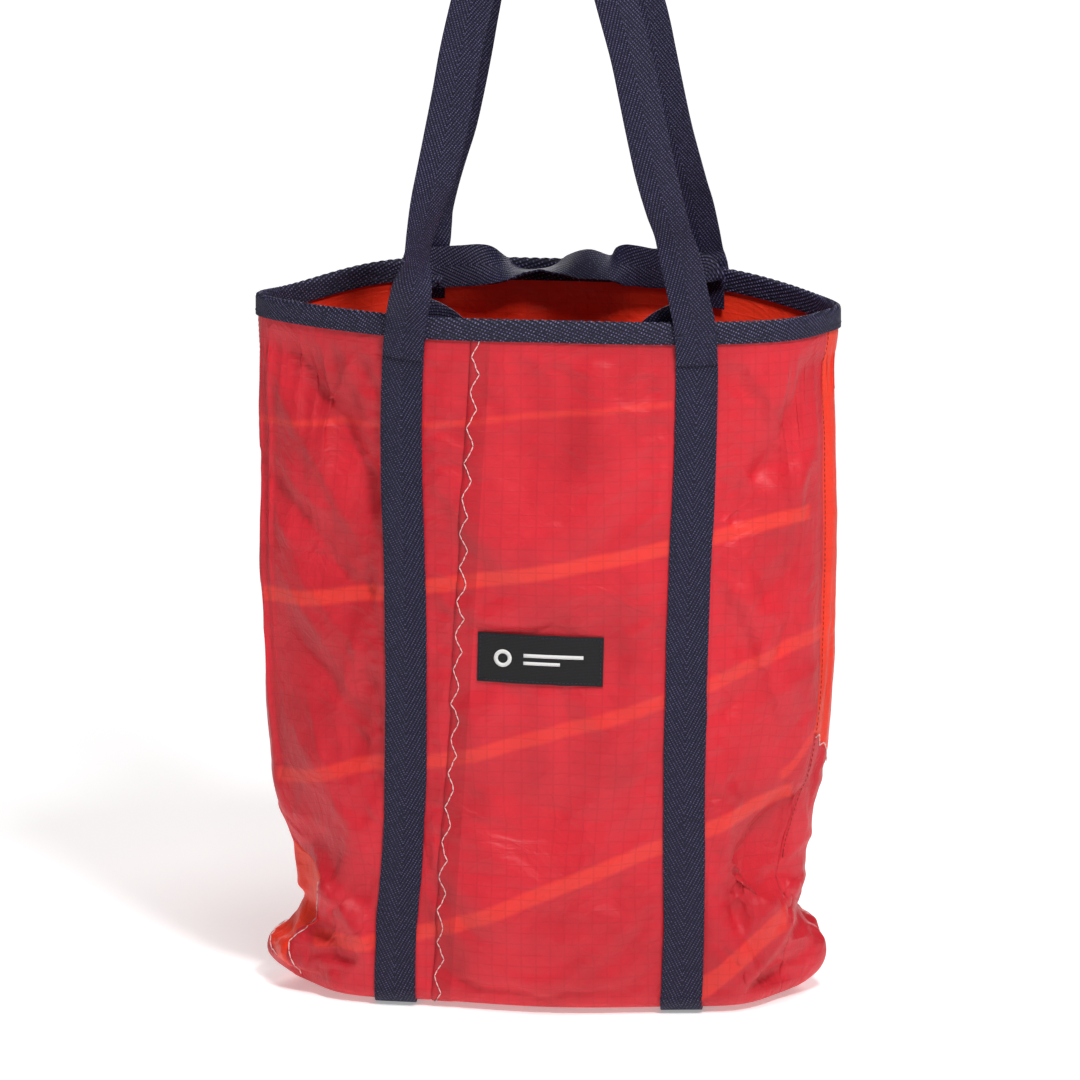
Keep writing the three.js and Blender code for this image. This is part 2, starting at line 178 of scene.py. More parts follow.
# Plan of the bag as shares of its half width and half depth, from the left side seam round the
# front to the right side seam and back along the rear.
MOUTH_PLAN = np.array([
    (-1.0, 0.02), (-0.965, -0.16), (-0.76, -0.55), (-0.42, -0.93), (0.04, -1.0), (0.48, -0.98),
    (0.84, -0.72), (0.965, -0.3), (1.0, -0.06), (0.93, 0.32), (0.55, 0.94), (0.0, 1.12),
    (-0.55, 0.98), (-0.94, 0.24),
])  # fmt: skip
BASE_PLAN = np.array([
    (-1.0, 0.0), (-0.96, -0.5), (-0.8, -0.92), (-0.42, -1.08), (0.04, -1.25), (0.48, -1.14),
    (0.82, -0.96), (0.965, -0.5), (1.0, 0.0), (0.93, 0.66), (0.55, 1.0), (0.0, 1.02),
    (-0.55, 1.0), (-0.93, 0.66),
])  # fmt: skip

# Half the bag's width at heights above the floor, and how far each bottom corner sticks out of it.
HALF_WIDTH = (
    (0.0, 0.150), (0.060, 0.150), (0.097, 0.1515), (0.136, 0.164), (0.185, 0.1725), (0.215, 0.175),
    (0.430, 0.175),
)  # fmt: skip
LEFT_EAR = (
    (0.001, 0.003), (0.008, 0.012), (0.016, 0.020), (0.026, 0.021), (0.039, 0.013), (0.056, 0.004),
    (0.079, 0.001), (0.100, 0.0),
)  # fmt: skip
RIGHT_EAR = (
    (0.001, 0.004), (0.015, 0.017), (0.030, 0.021), (0.042, 0.018), (0.052, 0.011), (0.062, 0.003),
    (0.076, 0.004), (0.101, 0.008), (0.118, 0.007), (0.136, 0.004), (0.165, 0.0),
)  # fmt: skip
LEFT_NOSE, RIGHT_NOSE, RIGHT_SEAM = 0, 8, 7
SIDE_RIGHT = RIGHT_SEAM / len(MOUTH_PLAN)


class ClothShell:
    """The outer face of the cloth: t goes once round the bag, s is the distance up the wall.

    s is 0 at the top of the rounded bottom edge and negative round it.  The shell is kept as a
    table of points, which a simulation and given folds then move.
    """

    COLUMNS, ROWS = 560, 200
    INVERSE = 601

    def __init__(self, sizes: BagSizes) -> None:
        """Builds the table of points for the given sizes."""
        self.sizes = sizes
        self.edge = -sizes.bottom_radius * math.pi / 2
        self.rim = sizes.height - sizes.floor - sizes.bottom_radius
        self.s = np.linspace(self.edge, self.rim, self.ROWS + 1)
        t = np.arange(self.COLUMNS) / self.COLUMNS
        self.base = np.stack([self._ring(t, s) for s in self.s])
        self.shape = self.base.copy()
        self.normal = self._normals()
        reach = sizes.mouth_width / 2 * 0.93
        self.x = np.linspace(-reach, reach, self.INVERSE)
        self.inverse = {side: self._inverse(side) for side in Side}

    def height_of(self, s: Array) -> Array:
        """Z of the shell at distance s up the wall."""
        turn = np.maximum(0.0, -np.asarray(s, float)) / self.sizes.bottom_radius
        rise = self.sizes.bottom_radius * (1 - np.sin(turn))
        return self.sizes.floor + rise + np.maximum(0.0, s)

    def s_of(self, z: Array) -> Array:
        """Distance up the wall of the height z."""
        z = np.asarray(z, float) - self.sizes.floor
        radius = self.sizes.bottom_radius
        bend = -radius * np.arcsin(np.clip(1 - z / radius, 0.0, 1.0))
        return np.where(z < radius, bend, z - radius)

    def _ring(self, t: Array, s: float) -> Array:
        """The undisturbed outline at distance s up the wall."""
        sizes = self.sizes
        turn = max(0.0, -s) / sizes.bottom_radius
        z = float(self.height_of(s))
        opened = float(smoothstep(z, sizes.drawn_in, sizes.height))
        depth = sizes.base_depth + (sizes.mouth_depth - sizes.base_depth) * opened
        half = np.array([float(along_points(z, HALF_WIDTH)), depth / 2])
        plan = (BASE_PLAN + (MOUTH_PLAN - BASE_PLAN) * opened) * half
        plan[LEFT_NOSE, 0] -= float(along_points(z, LEFT_EAR))
        plan[RIGHT_NOSE, 0] += float(along_points(z, RIGHT_EAR))
        count = len(plan)
        i = np.floor(t * count).astype(int)
        points = [plan[(i + k) % count] for k in (-1, 0, 1, 2)]
        flat = centripetal(*points, t * count - i)
        spine = (sizes.base_width - sizes.base_depth) / 2
        core = np.stack([np.clip(flat[:, 0], -spine, spine), np.zeros(len(flat))], axis=1)
        flat += unit(core - flat) * sizes.bottom_radius * (1 - math.cos(turn))
        rear = smoothstep(flat[:, 1] / (sizes.mouth_depth / 2), 0.2, 1.1)
        arch = sizes.back_arch * rear * float(smoothstep(z, 0.6 * sizes.height, sizes.height))
        return np.column_stack([flat, z + arch])

    def _normals(self) -> Array:
        """Outward directions of the shell as it now is."""
        along = np.roll(self.shape, -1, 1) - np.roll(self.shape, 1, 1)
        up = np.gradient(self.shape, axis=0)
        return unit(np.cross(along, up))

    def _inverse(self, side: Side) -> Array:
        """A table of the places t whose X is self.x, one row for each row of the shell."""
        corner = 0.5 / len(MOUTH_PLAN)
        if side is Side.FRONT:
            t = np.linspace(corner, SIDE_RIGHT, self.COLUMNS)
        else:
            t = np.linspace(1 - corner, SIDE_RIGHT + 3 * corner, self.COLUMNS)
        rows = []
        for points in self.base:
            x = self._between(points, t)[:, 0]
            order = np.maximum.accumulate(x)
            rows.append(np.interp(self.x, order, t))
        return np.stack(rows)

    def _between(self, points: Array, t: Array) -> Array:
        """Points of one row of the table at places t."""
        place = (np.asarray(t, float) % 1.0) * self.COLUMNS
        i = np.floor(place).astype(int)
        h = (place - i)[:, None]
        return points[i % self.COLUMNS] * (1 - h) + points[(i + 1) % self.COLUMNS] * h

    def _sample(self, table: Array, t: Array, s: Array) -> Array:
        """Values of a table at places t and distances s."""
        place = (np.asarray(t, float) % 1.0) * self.COLUMNS
        row = np.clip((np.asarray(s, float) - self.edge) / (self.rim - self.edge), 0, 1) * self.ROWS
        i, j = np.floor(place).astype(int), np.minimum(np.floor(row).astype(int), self.ROWS - 1)
        a, b = (place - i)[:, None], (row - j)[:, None]
        i, i1 = i % self.COLUMNS, (i + 1) % self.COLUMNS
        low = table[j, i] * (1 - a) + table[j, i1] * a
        high = table[j + 1, i] * (1 - a) + table[j + 1, i1] * a
        return low * (1 - b) + high * b

    def at(self, t: Array, s: Array, out: Array = 0.0) -> Array:
        """Points that stand `out` from the shell.

        Args:
            t: Places round the bag.
            s: Distances up the wall.
            out: Distances outward, in metres.

        Returns:
            The points, one row each.
        """
        t, s, out = np.broadcast_arrays(np.atleast_1d(t), s, out)
        normal = unit(self._sample(self.normal, t, s))
        over = np.maximum(0.0, s - self.rim)[:, None] * np.array([0.0, 0.0, 1.0])
        return self._sample(self.shape, t, s) + normal * out[:, None] + over

    def place(self, side: Side, x: Array, s: Array) -> Array:
        """Places t on one side of the bag whose X is x."""
        x, s = np.broadcast_arrays(np.atleast_1d(x), s)
        column = np.clip((x - self.x[0]) / (self.x[-1] - self.x[0]), 0, 1) * (self.INVERSE - 1)
        row = np.clip((s - self.edge) / (self.rim - self.edge), 0, 1) * self.ROWS
        i = np.minimum(np.floor(column).astype(int), self.INVERSE - 2)
        j = np.minimum(np.floor(row).astype(int), self.ROWS - 1)
        a, b, table = column - i, row - j, self.inverse[side]
        low = table[j, i] * (1 - a) + table[j, i + 1] * a
        high = table[j + 1, i] * (1 - a) + table[j + 1, i + 1] * a
        return low * (1 - b) + high * b

    def on(self, side: Side, x: Array, s: Array, out: Array = 0.0) -> Array:
        """Points of one side of the bag at X x and distance s up the wall, `out` from the shell."""
        return self.at(self.place(side, x, s), s, out)

    def move(self, by: Array) -> None:
        """Moves the table of points and works the outward directions out again."""
        self.shape = self.shape + by
        self.normal = self._normals()


# ------------------------------------------------------------------------------------ meshes


def mesh_object(name: str, bm: bmesh.types.BMesh, smooth: bool = True) -> bpy.types.Object:
    """Turns a bmesh into an object of the scene.

    Args:
        name: The piece's name.
        bm: The shape, which is freed.
        smooth: Whether its faces are shaded smooth.

    Returns:
        The object.
    """
    mesh = bpy.data.meshes.new(name)
    for face in bm.faces:
        face.smooth = smooth
    bm.to_mesh(mesh)
    bm.free()
    piece = bpy.data.objects.new(name, mesh)
    bpy.context.scene.collection.objects.link(piece)
    return piece


def laid_sheet(
    name: str,
    columns: int,
    rows: int,
    lay: Callable[[Array, Array], Array],
    chart: Callable[[Array, Array], Array],
    extra: Callable[[Array, Array], Array] | None = None,
) -> bpy.types.Object:
    """A grid laid on a surface, with its real size in its UV map.

    Args:
        name: The piece's name.
        columns: Faces across, along u.
        rows: Faces up, along v.
        lay: Takes u and v, 0 to 1, to points.
        chart: Takes u and v to distances across and along the piece, in metres.
        extra: Takes u and v to a second pair of distances, kept in the UV map "Seam".

    Returns:
        The object, an open sheet.
    """
    bm = bmesh.new()
    bmesh.ops.create_grid(bm, x_segments=columns, y_segments=rows, size=0.5)
    flat = np.array([v.co[:2] for v in bm.verts]) + 0.5
    points = lay(flat[:, 0], flat[:, 1])
    maps = [("UVMap", chart(flat[:, 0], flat[:, 1]))]
    if extra is not None:
        maps.append(("Seam", extra(flat[:, 0], flat[:, 1])))
    bm.verts.index_update()
    for title, values in maps:
        layer = bm.loops.layers.uv.new(title)
        for face in bm.faces:
            for loop in face.loops:
                loop[layer].uv = values[loop.vert.index]
    for vertex, point in zip(bm.verts, points):
        vertex.co = point
    return mesh_object(name, bm)


def thicken(piece: bpy.types.Object, thickness: float, offset: float, soften: float = 0.0) -> None:
    """Gives an open sheet its thickness, and rounds its long edges.

    Args:
        piece: The sheet.
        thickness: In metres.
        offset: 1 grows it outward, -1 inward and 0 both ways.
        soften: Radius of the rounded edges, in metres, or 0.
    """
    solid = piece.modifiers.new("Thickness", "SOLIDIFY")
    solid.thickness, solid.offset = thickness, offset
    if soften:
        bevel = piece.modifiers.new("Edges", "BEVEL")
        bevel.width, bevel.segments, bevel.profile = soften, 2, 0.5
        bevel.limit_method, bevel.angle_limit = "ANGLE", math.radians(60)
        bevel.harden_normals = False


class Ribbon:
    """A strip of webbing along stations: points of its centre line and directions of its width."""

    def __init__(self, at: Sequence[Sequence[float]], across: Sequence[Sequence[float]]) -> None:
        """Keeps the stations, with one more beyond each end so that the curve starts straight."""
        self.at, self.across = (
            np.vstack([2 * p[0] - p[1], p, 2 * p[-1] - p[-2]])
            for p in (np.array(at, float), np.array(across, float))
        )
        fine = self._curve(self.at, np.linspace(0, 1, 400))
        steps = np.linalg.norm(np.diff(fine, axis=0), axis=1)
        self.length = float(steps.sum())
        self._along = np.concatenate([[0], np.cumsum(steps)]) / self.length

    @staticmethod
    def _curve(points: Array, v: Array) -> Array:
        """Points of the curve through points[1:-1] at shares v of its stretches."""
        count = len(points) - 3
        place = np.clip(v, 0, 1) * count
        i = np.minimum(np.floor(place).astype(int), count - 1)
        return centripetal(*(points[i + k] for k in range(4)), place - i)

    def lay(self, u: Array, v: Array, half: float, arch: float = 0.0) -> Array:
        """Points of the strip.

        Args:
            u: Shares across, 0 to 1.
            v: Shares of the length, 0 to 1.
            half: Half the webbing's width, in metres.
            arch: How far the middle stands above the edges, in metres.

        Returns:
            The points.
        """
        share = np.interp(v, self._along, np.linspace(0, 1, len(self._along)))
        step = 1e-4
        middle = self._curve(self.at, share)
        ahead = self._curve(self.at, np.minimum(share + step, 1))
        tangent = unit(ahead - self._curve(self.at, np.maximum(share - step, 0)))
        across = self._curve(self.across, share)
        across = unit(across - tangent * (across * tangent).sum(1)[:, None])
        face = np.cross(across, tangent)
        side = (2 * u - 1)[:, None]
        return middle + across * side * half + face * (1 - side**2) * arch


def stitches(
    name: str,
    lines: Sequence[tuple[Array, Array]],
    width: float,
    rise: float,
    fill: float = 0.86,
) -> bpy.types.Object:
    """Rows of stitches, each a small rounded length of thread.

    Args:
        name: The piece's name.
        lines: For each row, the points where the needle goes through and the outward directions.
        width: The thread's width, in metres.
        rise: The thread's height off the surface, in metres.
        fill: The share of each step that shows thread.

    Returns:
        The object.
    """
    bm = bmesh.new()
    bmesh.ops.create_uvsphere(bm, u_segments=8, v_segments=5, radius=1)
    ball = np.array([v.co for v in bm.verts]) * np.array([width, rise, fill]) / 2
    pattern = bpy.data.meshes.new("stitch_pattern")
    bm.to_mesh(pattern)
    spots = []
    for points, normals in lines:
        run = np.diff(points, axis=0)
        forward = unit(run)
        aside = unit(np.cross(normals[:-1], forward))
        up = np.cross(forward, aside)
        for k, middle in enumerate((points[:-1] + points[1:]) / 2):
            length = ball[:, 2:] * np.linalg.norm(run[k])
            spots.append(middle + ball[:, :1] * aside[k] + ball[:, 1:2] * up[k] + length * forward[k])
    for _ in spots[1:]:
        bm.from_mesh(pattern)
    bpy.data.meshes.remove(pattern)
    for vertex, spot in zip(bm.verts, np.vstack(spots)):
        vertex.co = spot
    bmesh.ops.recalc_face_normals(bm, faces=bm.faces)
    return mesh_object(name, bm)


# ------------------------------------------------------------------------------------ finishes


def linear(colour: str) -> tuple[float, float, float, float]:
    """An sRGB hex colour as linear red, green, blue and alpha."""
    parts = [int(colour[i : i + 2], 16) / 255 for i in (1, 3, 5)]
    rgb = [c / 12.92 if c <= 0.04045 else ((c + 0.055) / 1.055) ** 2.4 for c in parts]
    return (*rgb, 1.0)


def add_node(
    tree: bpy.types.NodeTree,
    kind: str,
    inputs: dict[str | int, object] | None = None,
    **settings: object,
) -> bpy.types.Node:
    """Adds a shader node.

    Args:
        tree: The material's node tree.
        kind: The node's type.
        inputs: Values or sockets for its inputs, by name or index.
        **settings: Its other settings.

    Returns:
        The node.
    """
    made = tree.nodes.new(kind)
    for key, value in settings.items():
        setattr(made, key, value)
    for key, value in (inputs or {}).items():
        if isinstance(value, bpy.types.NodeSocket):
            tree.links.new(value, made.inputs[key])
        else:
            made.inputs[key].default_value = value
    return made


class Recipe:
    """One material under construction: a node tree with a few short ways to write sums."""

    def __init__(self, name: str) -> None:
        """Starts an empty material of that name."""
        self.material = bpy.data.materials.new(name)
        self.material.use_nodes = True
        self.tree = self.material.node_tree
        self.tree.nodes.clear()

    def node(self, kind: str, inputs: dict | None = None, **settings: object) -> bpy.types.Node:
        """Adds a node to this material."""
        return add_node(self.tree, kind, inputs, **settings)

    def sum(self, operation: str, *values: object, clamp: bool = False) -> bpy.types.NodeSocket:
        """The result of a Math node."""
        made = self.node("ShaderNodeMath", dict(enumerate(values)), operation=operation)
        made.use_clamp = clamp
        return made.outputs[0]

    def ramp(self, value: object, low: float, high: float) -> bpy.types.NodeSocket:
        """A smooth climb from 0 at low to 1 at high."""
        inputs = {"Value": value, "From Min": low, "From Max": high}
        kind = {"interpolation_type": "SMOOTHSTEP"}
        return self.node("ShaderNodeMapRange", inputs, **kind).outputs[0]

    def noise(self, place: object, scale: float, detail: float = 3.0, rough: float = 0.55,
              lean: float = 0.0) -> bpy.types.NodeSocket:  # fmt: skip
        """The value of a Noise Texture, its scale in features for each metre."""
        inputs = {"Vector": place, "Scale": scale, "Detail": detail, "Roughness": rough}
        inputs["Distortion"] = lean
        return self.node("ShaderNodeTexNoise", inputs).outputs["Fac"]

    def mix(self, share: object, a: object, b: object, blend: str = "MIX") -> bpy.types.NodeSocket:
        """Two colours mixed."""
        made = self.node("ShaderNodeMix", data_type="RGBA", blend_type=blend)
        for index, value in ((0, share), (6, a), (7, b)):
            if isinstance(value, bpy.types.NodeSocket):
                self.tree.links.new(value, made.inputs[index])
            else:
                made.inputs[index].default_value = value
        return made.outputs[2]

    def uv(self, title: str = "UVMap") -> tuple:
        """The two distances of a UV map, and the map's own socket."""
        place = self.node("ShaderNodeUVMap", uv_map=title).outputs[0]
        parts = self.node("ShaderNodeSeparateXYZ", {0: place})
        return parts.outputs[0], parts.outputs[1], place

    def finish(self, colour: object, height: object, **values: object) -> bpy.types.Material:
        """Closes the material with a Principled shader and a bump.

        Args:
            colour: The base colour.
            height: The bump's height, in metres.
            **values: The shader's other inputs, with spaces written as underscores.

        Returns:
            The material.
        """
        bump = self.node("ShaderNodeBump", {"Strength": 1.0, "Distance": 1.0, "Height": height})
        inputs = {key.replace("_", " "): value for key, value in values.items()}
        inputs |= {"Base Color": colour, "Normal": bump.outputs[0]}
        shader = self.node("ShaderNodeBsdfPrincipled", inputs)
        out = self.node("ShaderNodeOutputMaterial", {"Surface": shader.outputs[0]})
        out.is_active_output = True
        return self.material


@dataclass(frozen=True)
class Ripstop:
    """Coated kite ripstop: thin crisp nylon with a raised grid, which crinkles and has a low sheen.

    Attributes:
        name: The material's name.
        body: Colour of the cloth.
        deep: The darker colour, mixed in where the cloth is doubled, in random blotches and on the grid
            lines.
        stripe: Colour of the printed stripes, where it has them.
        square: Side of a square of the ripstop grid, in metres.
        line: Width of a grid line, in metres; the real one is finer and is drawn to show.
        striped: Whether the front's stripes cross it.
        lapped: Whether its left edge lies double along the front seam.
    """

    name: str
    body: str
    deep: str
    stripe: str
    square: float = 7.0 * MM
    line: float = 0.55 * MM
    striped: bool = False
    lapped: bool = False
    THREAD_PITCH = 0.7 * MM
    STRIPES_END_Y, STRIPES_FULL_Y = 0.012, -0.002

    def build(self) -> bpy.types.Material:
        """Makes the material."""
        recipe = Recipe(self.name)
        across, up, place = recipe.uv()
        at = recipe.node("ShaderNodeTexCoord").outputs["Object"]
        # random darker blotches: large-scale noise mixes the darker colour into the body colour
        blotches = recipe.ramp(recipe.noise(at, 14, 4, 0.6), 0.35, 0.75)
        colour = recipe.mix(recipe.sum("MULTIPLY", blotches, 0.55), linear(self.body), linear(self.deep))
        if self.striped:
            colour = self._stripes(recipe, at, colour)
        if self.lapped:
            beside = recipe.uv("Seam")[0]
            single = recipe.ramp(beside, LAP.width - 0.5 * MM, LAP.width + 0.3 * MM)
            double = recipe.sum("MULTIPLY", recipe.sum("SUBTRACT", 1.0, single), 0.42)
            colour = recipe.mix(double, colour, linear(self.deep))
        grid = self._grid(recipe, across, up)
        colour = recipe.mix(recipe.sum("MULTIPLY", grid, 0.16), colour, linear(self.deep))
        threads = self._threads(recipe, across, up)
        weave = recipe.sum("MULTIPLY", threads, 0.012 * MM)
        crinkle = recipe.noise(place, 75, 5, 0.62, 0.6)
        creases = recipe.noise(place, 26, 3, 0.55, 1.2)
        folds = recipe.sum("ABSOLUTE", recipe.sum("SUBTRACT", creases, 0.5))
        height = recipe.sum("MULTIPLY_ADD", crinkle, 0.8 * MM, weave)
        height = recipe.sum("MULTIPLY_ADD", folds, -2.6 * MM, height)
        height = recipe.sum("MULTIPLY_ADD", grid, 0.05 * MM, height)
        sheen = {"Sheen_Weight": 0.10, "Sheen_Roughness": 0.4, "Sheen_Tint": linear("#FFC8C4")}
        return recipe.finish(colour, height, Roughness=0.5, Specular_IOR_Level=0.4, **sheen)

    def _grid(self, recipe: Recipe, across: object, up: object) -> bpy.types.NodeSocket:
        """1 on the ripstop's grid lines and 0 between them."""
        lines = []
        for value in (across, up):
            share = recipe.sum("PINGPONG", value, self.square / 2)
            lines.append(recipe.sum("SUBTRACT", 1.0, recipe.ramp(share, self.line / 2, self.line)))
        return recipe.sum("MAXIMUM", *lines)

    def _threads(self, recipe: Recipe, across: object, up: object) -> bpy.types.NodeSocket:
        """The cloth's plain weave, drawn coarser than the real 0.1 mm so that it shows."""
        waves = [
            recipe.sum("SINE", recipe.sum("MULTIPLY", value, 2 * math.pi / self.THREAD_PITCH))
            for value in (across, up)
        ]
        return recipe.sum("MULTIPLY", *waves)

    def _stripes(self, recipe: Recipe, at: object, colour: object) -> bpy.types.NodeSocket:
        """The printed stripes that cross the front, mixed over the colour."""
        parts = recipe.node("ShaderNodeSeparateXYZ", {0: at})
        front = recipe.ramp(parts.outputs[1], self.STRIPES_END_Y, self.STRIPES_FULL_Y)
        for stripe in STRIPES:
            mask = stripe.mask(recipe, parts.outputs[0], parts.outputs[2])
            share = recipe.sum("MULTIPLY", recipe.sum("MULTIPLY", mask, front), stripe.strength)
            colour = recipe.mix(share, colour, linear(self.stripe))
        return colour


@dataclass(frozen=True)
class Stripe:
    """A printed stripe: a band along a line of (X, Z) points on the front, in metres."""

    line: tuple[tuple[float, float], ...]
    width: float
    strength: float = 0.85
    soft: float = 1.7 * MM
    SPAN_X = 0.36
    SPAN_Z = 0.45

    def mask(self, recipe: Recipe, x: object, z: object) -> bpy.types.NodeSocket:
        """1 on the stripe and 0 off it."""
        curve = recipe.node("ShaderNodeFloatCurve")
        points = curve.mapping.curves[0].points
        ends = ((-self.SPAN_X / 2, self.line[0][1]), (self.SPAN_X / 2, self.line[-1][1]))
        places = [ends[0], *self.line, ends[1]]
        while len(points) < len(places):
            points.new(0.5, 0.5)
        for point, (px, pz) in zip(points, places):
            point.location = (px / self.SPAN_X + 0.5, pz / self.SPAN_Z)
            point.handle_type = "AUTO"
        curve.mapping.update()
        share = recipe.sum("MULTIPLY_ADD", x, 1 / self.SPAN_X, 0.5)
        recipe.tree.links.new(share, curve.inputs["Value"])
        middle = recipe.sum("MULTIPLY", curve.outputs[0], self.SPAN_Z)
        off = recipe.sum("ABSOLUTE", recipe.sum("SUBTRACT", z, middle))
        half = self.width / 2
        inside = recipe.sum("SUBTRACT", 1.0, recipe.ramp(off, half - self.soft, half + self.soft))
        low, high = self.line[0][0], self.line[-1][0]
        starts = recipe.ramp(x, low - 2 * MM, low + 2 * MM)
        ends = recipe.ramp(x, high + 2 * MM, high - 2 * MM)
        return recipe.sum("MULTIPLY", inside, recipe.sum("MULTIPLY", starts, ends))


STRIPES = (
    Stripe(((-0.175, 0.353), (-0.094, 0.361), (0.011, 0.373), (0.079, 0.380)), 4 * MM, 0.30),
    Stripe(
        ((-0.172, 0.245), (-0.094, 0.258), (-0.073, 0.263), (0.035, 0.283), (0.103, 0.297),
         (0.160, 0.309)), 9 * MM, 0.50),
    Stripe(
        ((-0.163, 0.134), (-0.094, 0.153), (-0.073, 0.154), (0.011, 0.177), (0.104, 0.207),
         (0.170, 0.233)), 9 * MM, 0.40),
    Stripe(((-0.140, 0.036), (-0.074, 0.047), (0.011, 0.081), (0.100, 0.116), (0.150, 0.134)), 10 * MM, 0.46),
    Stripe(((0.096, 0.016), (0.120, 0.034), (0.148, 0.055)), 15 * MM, 0.42),
    Stripe(((0.143, 0.145), (0.170, 0.173)), 7 * MM, 0.35),
)  # fmt: skip


@dataclass(frozen=True)
class Webbing:
    """Dark navy herringbone webbing: matt polyester yarn in slanting ribs that meet down the middle, with
    painted shade in the grooves and painted glints on the floats.

    Attributes:
        name: The material's name.
        yarn: Colour of the ribs.
        groove_shade: Colour of the painted shade between the ribs, also used for random darker patches.
        glint: Colour of the painted highlights on the small floats that catch the light.
        pitch: Distance along the webbing from rib to rib, drawn a little coarse to show.
        slope: How far a rib climbs for each step towards the middle.
        float_length: Distance along a rib from float to float.
    """

    name: str
    yarn: str = "#1D1B38"
    # painted shade: this colour darkens the weave between the ribs, standing in for the shadow that lies
    # there
    groove_shade: str = "#06050E"
    glint: str = "#9890C6"
    pitch: float = 3.9 * MM
    slope: float = 1.9
    float_length: float = 1.5 * MM
    glints: float = 0.45

    def build(self) -> bpy.types.Material:
        """Makes the material."""
        recipe = Recipe(self.name)
        across, along, place = recipe.uv()
        out = recipe.sum("ABSOLUTE", across)
        climb = recipe.sum("MULTIPLY_ADD", out, -self.slope, along)
        turn = recipe.sum("MULTIPLY", climb, math.pi / self.pitch)
        rib = recipe.sum("ABSOLUTE", recipe.sum("SINE", turn))
        cross = recipe.sum("MULTIPLY_ADD", out, 1 / self.slope, along)
        bead = recipe.sum("SINE", recipe.sum("MULTIPLY", cross, 2 * math.pi / self.float_length))
        bead = recipe.sum("MULTIPLY_ADD", bead, 0.5, 0.5)
        # painted shade: the grooves between the ribs take the darker colour in place of their shadow
        colour = recipe.mix(recipe.ramp(rib, 0.15, 0.75), linear(self.groove_shade), linear(self.yarn))
        # painted highlight: glints on the ribs' floats, broken up in random patches by this noise
        glint_patches = recipe.noise(place, 900, 2, 0.5)
        shine = recipe.sum("MULTIPLY", recipe.ramp(rib, 0.62, 0.98), recipe.ramp(bead, 0.55, 0.95))
        shine = recipe.sum("MULTIPLY", shine, recipe.ramp(glint_patches, 0.35, 0.62))
        colour = recipe.mix(recipe.sum("MULTIPLY", shine, self.glints), colour, linear(self.glint))
        patchy = recipe.noise(place, 45, 3, 0.5)
        colour = recipe.mix(recipe.sum("MULTIPLY", patchy, 0.25), colour, linear(self.groove_shade))
        height = recipe.sum("MULTIPLY", recipe.sum("POWER", rib, 0.6), 0.34 * MM)
        height = recipe.sum("MULTIPLY_ADD", bead, 0.09 * MM, height)
        sheen = {"Sheen_Weight": 0.05, "Sheen_Roughness": 0.5, "Sheen_Tint": linear("#8C8CB4")}
        return recipe.finish(colour, height, Roughness=0.62, Specular_IOR_Level=0.3, **sheen)


@dataclass(frozen=True)
class Thread:
    """Twisted polyester sewing thread, slightly glossy, its ply showing as a fine slant.

    Attributes:
        name: The material's name.
        colour: The thread's colour.
        shade: Its colour in the lay of the ply.
    """

    name: str
    colour: str
    shade: str

    def build(self) -> bpy.types.Material:
        """Makes the material."""
        recipe = Recipe(self.name)
        at = recipe.node("ShaderNodeTexCoord").outputs["Object"]
        ply = recipe.noise(at, 2600, 2, 0.5)
        colour = recipe.mix(recipe.ramp(ply, 0.35, 0.65), linear(self.shade), linear(self.colour))
        height = recipe.sum("MULTIPLY", ply, 0.06 * MM)
        return recipe.finish(colour, height, Roughness=0.5, Specular_IOR_Level=0.4)


@dataclass(frozen=True)
class LabelSatin:
    """Black woven satin label: very fine cross ribs with a soft shine.

    Attributes:
        name: The material's name.
        ground: Colour of the label.
        rib: Colour of its ribs.
        pitch: Distance from rib to rib, drawn coarser than the real one so that it shows.
    """

    name: str
    ground: str
    rib: str
    pitch: float = 0.9 * MM

    def build(self) -> bpy.types.Material:
        """Makes the material."""
        recipe = Recipe(self.name)
        _, along, place = recipe.uv()
        wave = recipe.sum("SINE", recipe.sum("MULTIPLY", along, 2 * math.pi / self.pitch))
        grain = recipe.noise(place, 1500, 2, 0.5)
        share = recipe.sum("MULTIPLY", recipe.sum("MULTIPLY_ADD", wave, 0.5, 0.5), grain)
        colour = recipe.mix(share, linear(self.ground), linear(self.rib))
        height = recipe.sum("MULTIPLY", share, 0.05 * MM)
        sheen = {"Sheen_Weight": 0.2, "Sheen_Roughness": 0.4}
        return recipe.finish(colour, height, Roughness=0.6, Specular_IOR_Level=0.3, **sheen)


class Finishes:
    """Every material of the bag."""

    def __init__(self) -> None:
        """Makes the materials."""
        red = {"body": "#D82232", "deep": "#A4121E", "stripe": "#FF4632"}
        self.front = Ripstop("ripstop_crimson_front", striped=True, **red).build()
        self.lapped = Ripstop("ripstop_crimson_lapped", striped=True, lapped=True, **red).build()
        self.plain = Ripstop("ripstop_crimson", **red).build()
        orange = {"body": "#FA3A1E", "deep": "#D42410", "stripe": "#FF5A30"}
        self.orange = Ripstop("ripstop_orange", **orange).build()
        self.webbing = Webbing("webbing_navy").build()
        # the binding's webbing also carries painted shade in its grooves, and stronger painted glints than
        # the straps
        self.binding = Webbing("binding_navy", yarn="#1B1933", groove_shade="#05040C", glints=0.75).build()
        self.pale = Thread("thread_pale", "#F6DEDC", "#DDB4B2").build()
        self.navy = Thread("thread_navy", "#24253C", "#141524").build()
        self.rust = Thread("thread_rust", "#B02014", "#7C120C").build()
        self.label = LabelSatin("label_satin", "#0C0B0D", "#2A282C").build()
        self.mark = LabelSatin("label_mark", "#D8D8D6", "#FFFFFF", pitch=0.6 * MM).build()


# ------------------------------------------------------------------------------------ shared rules


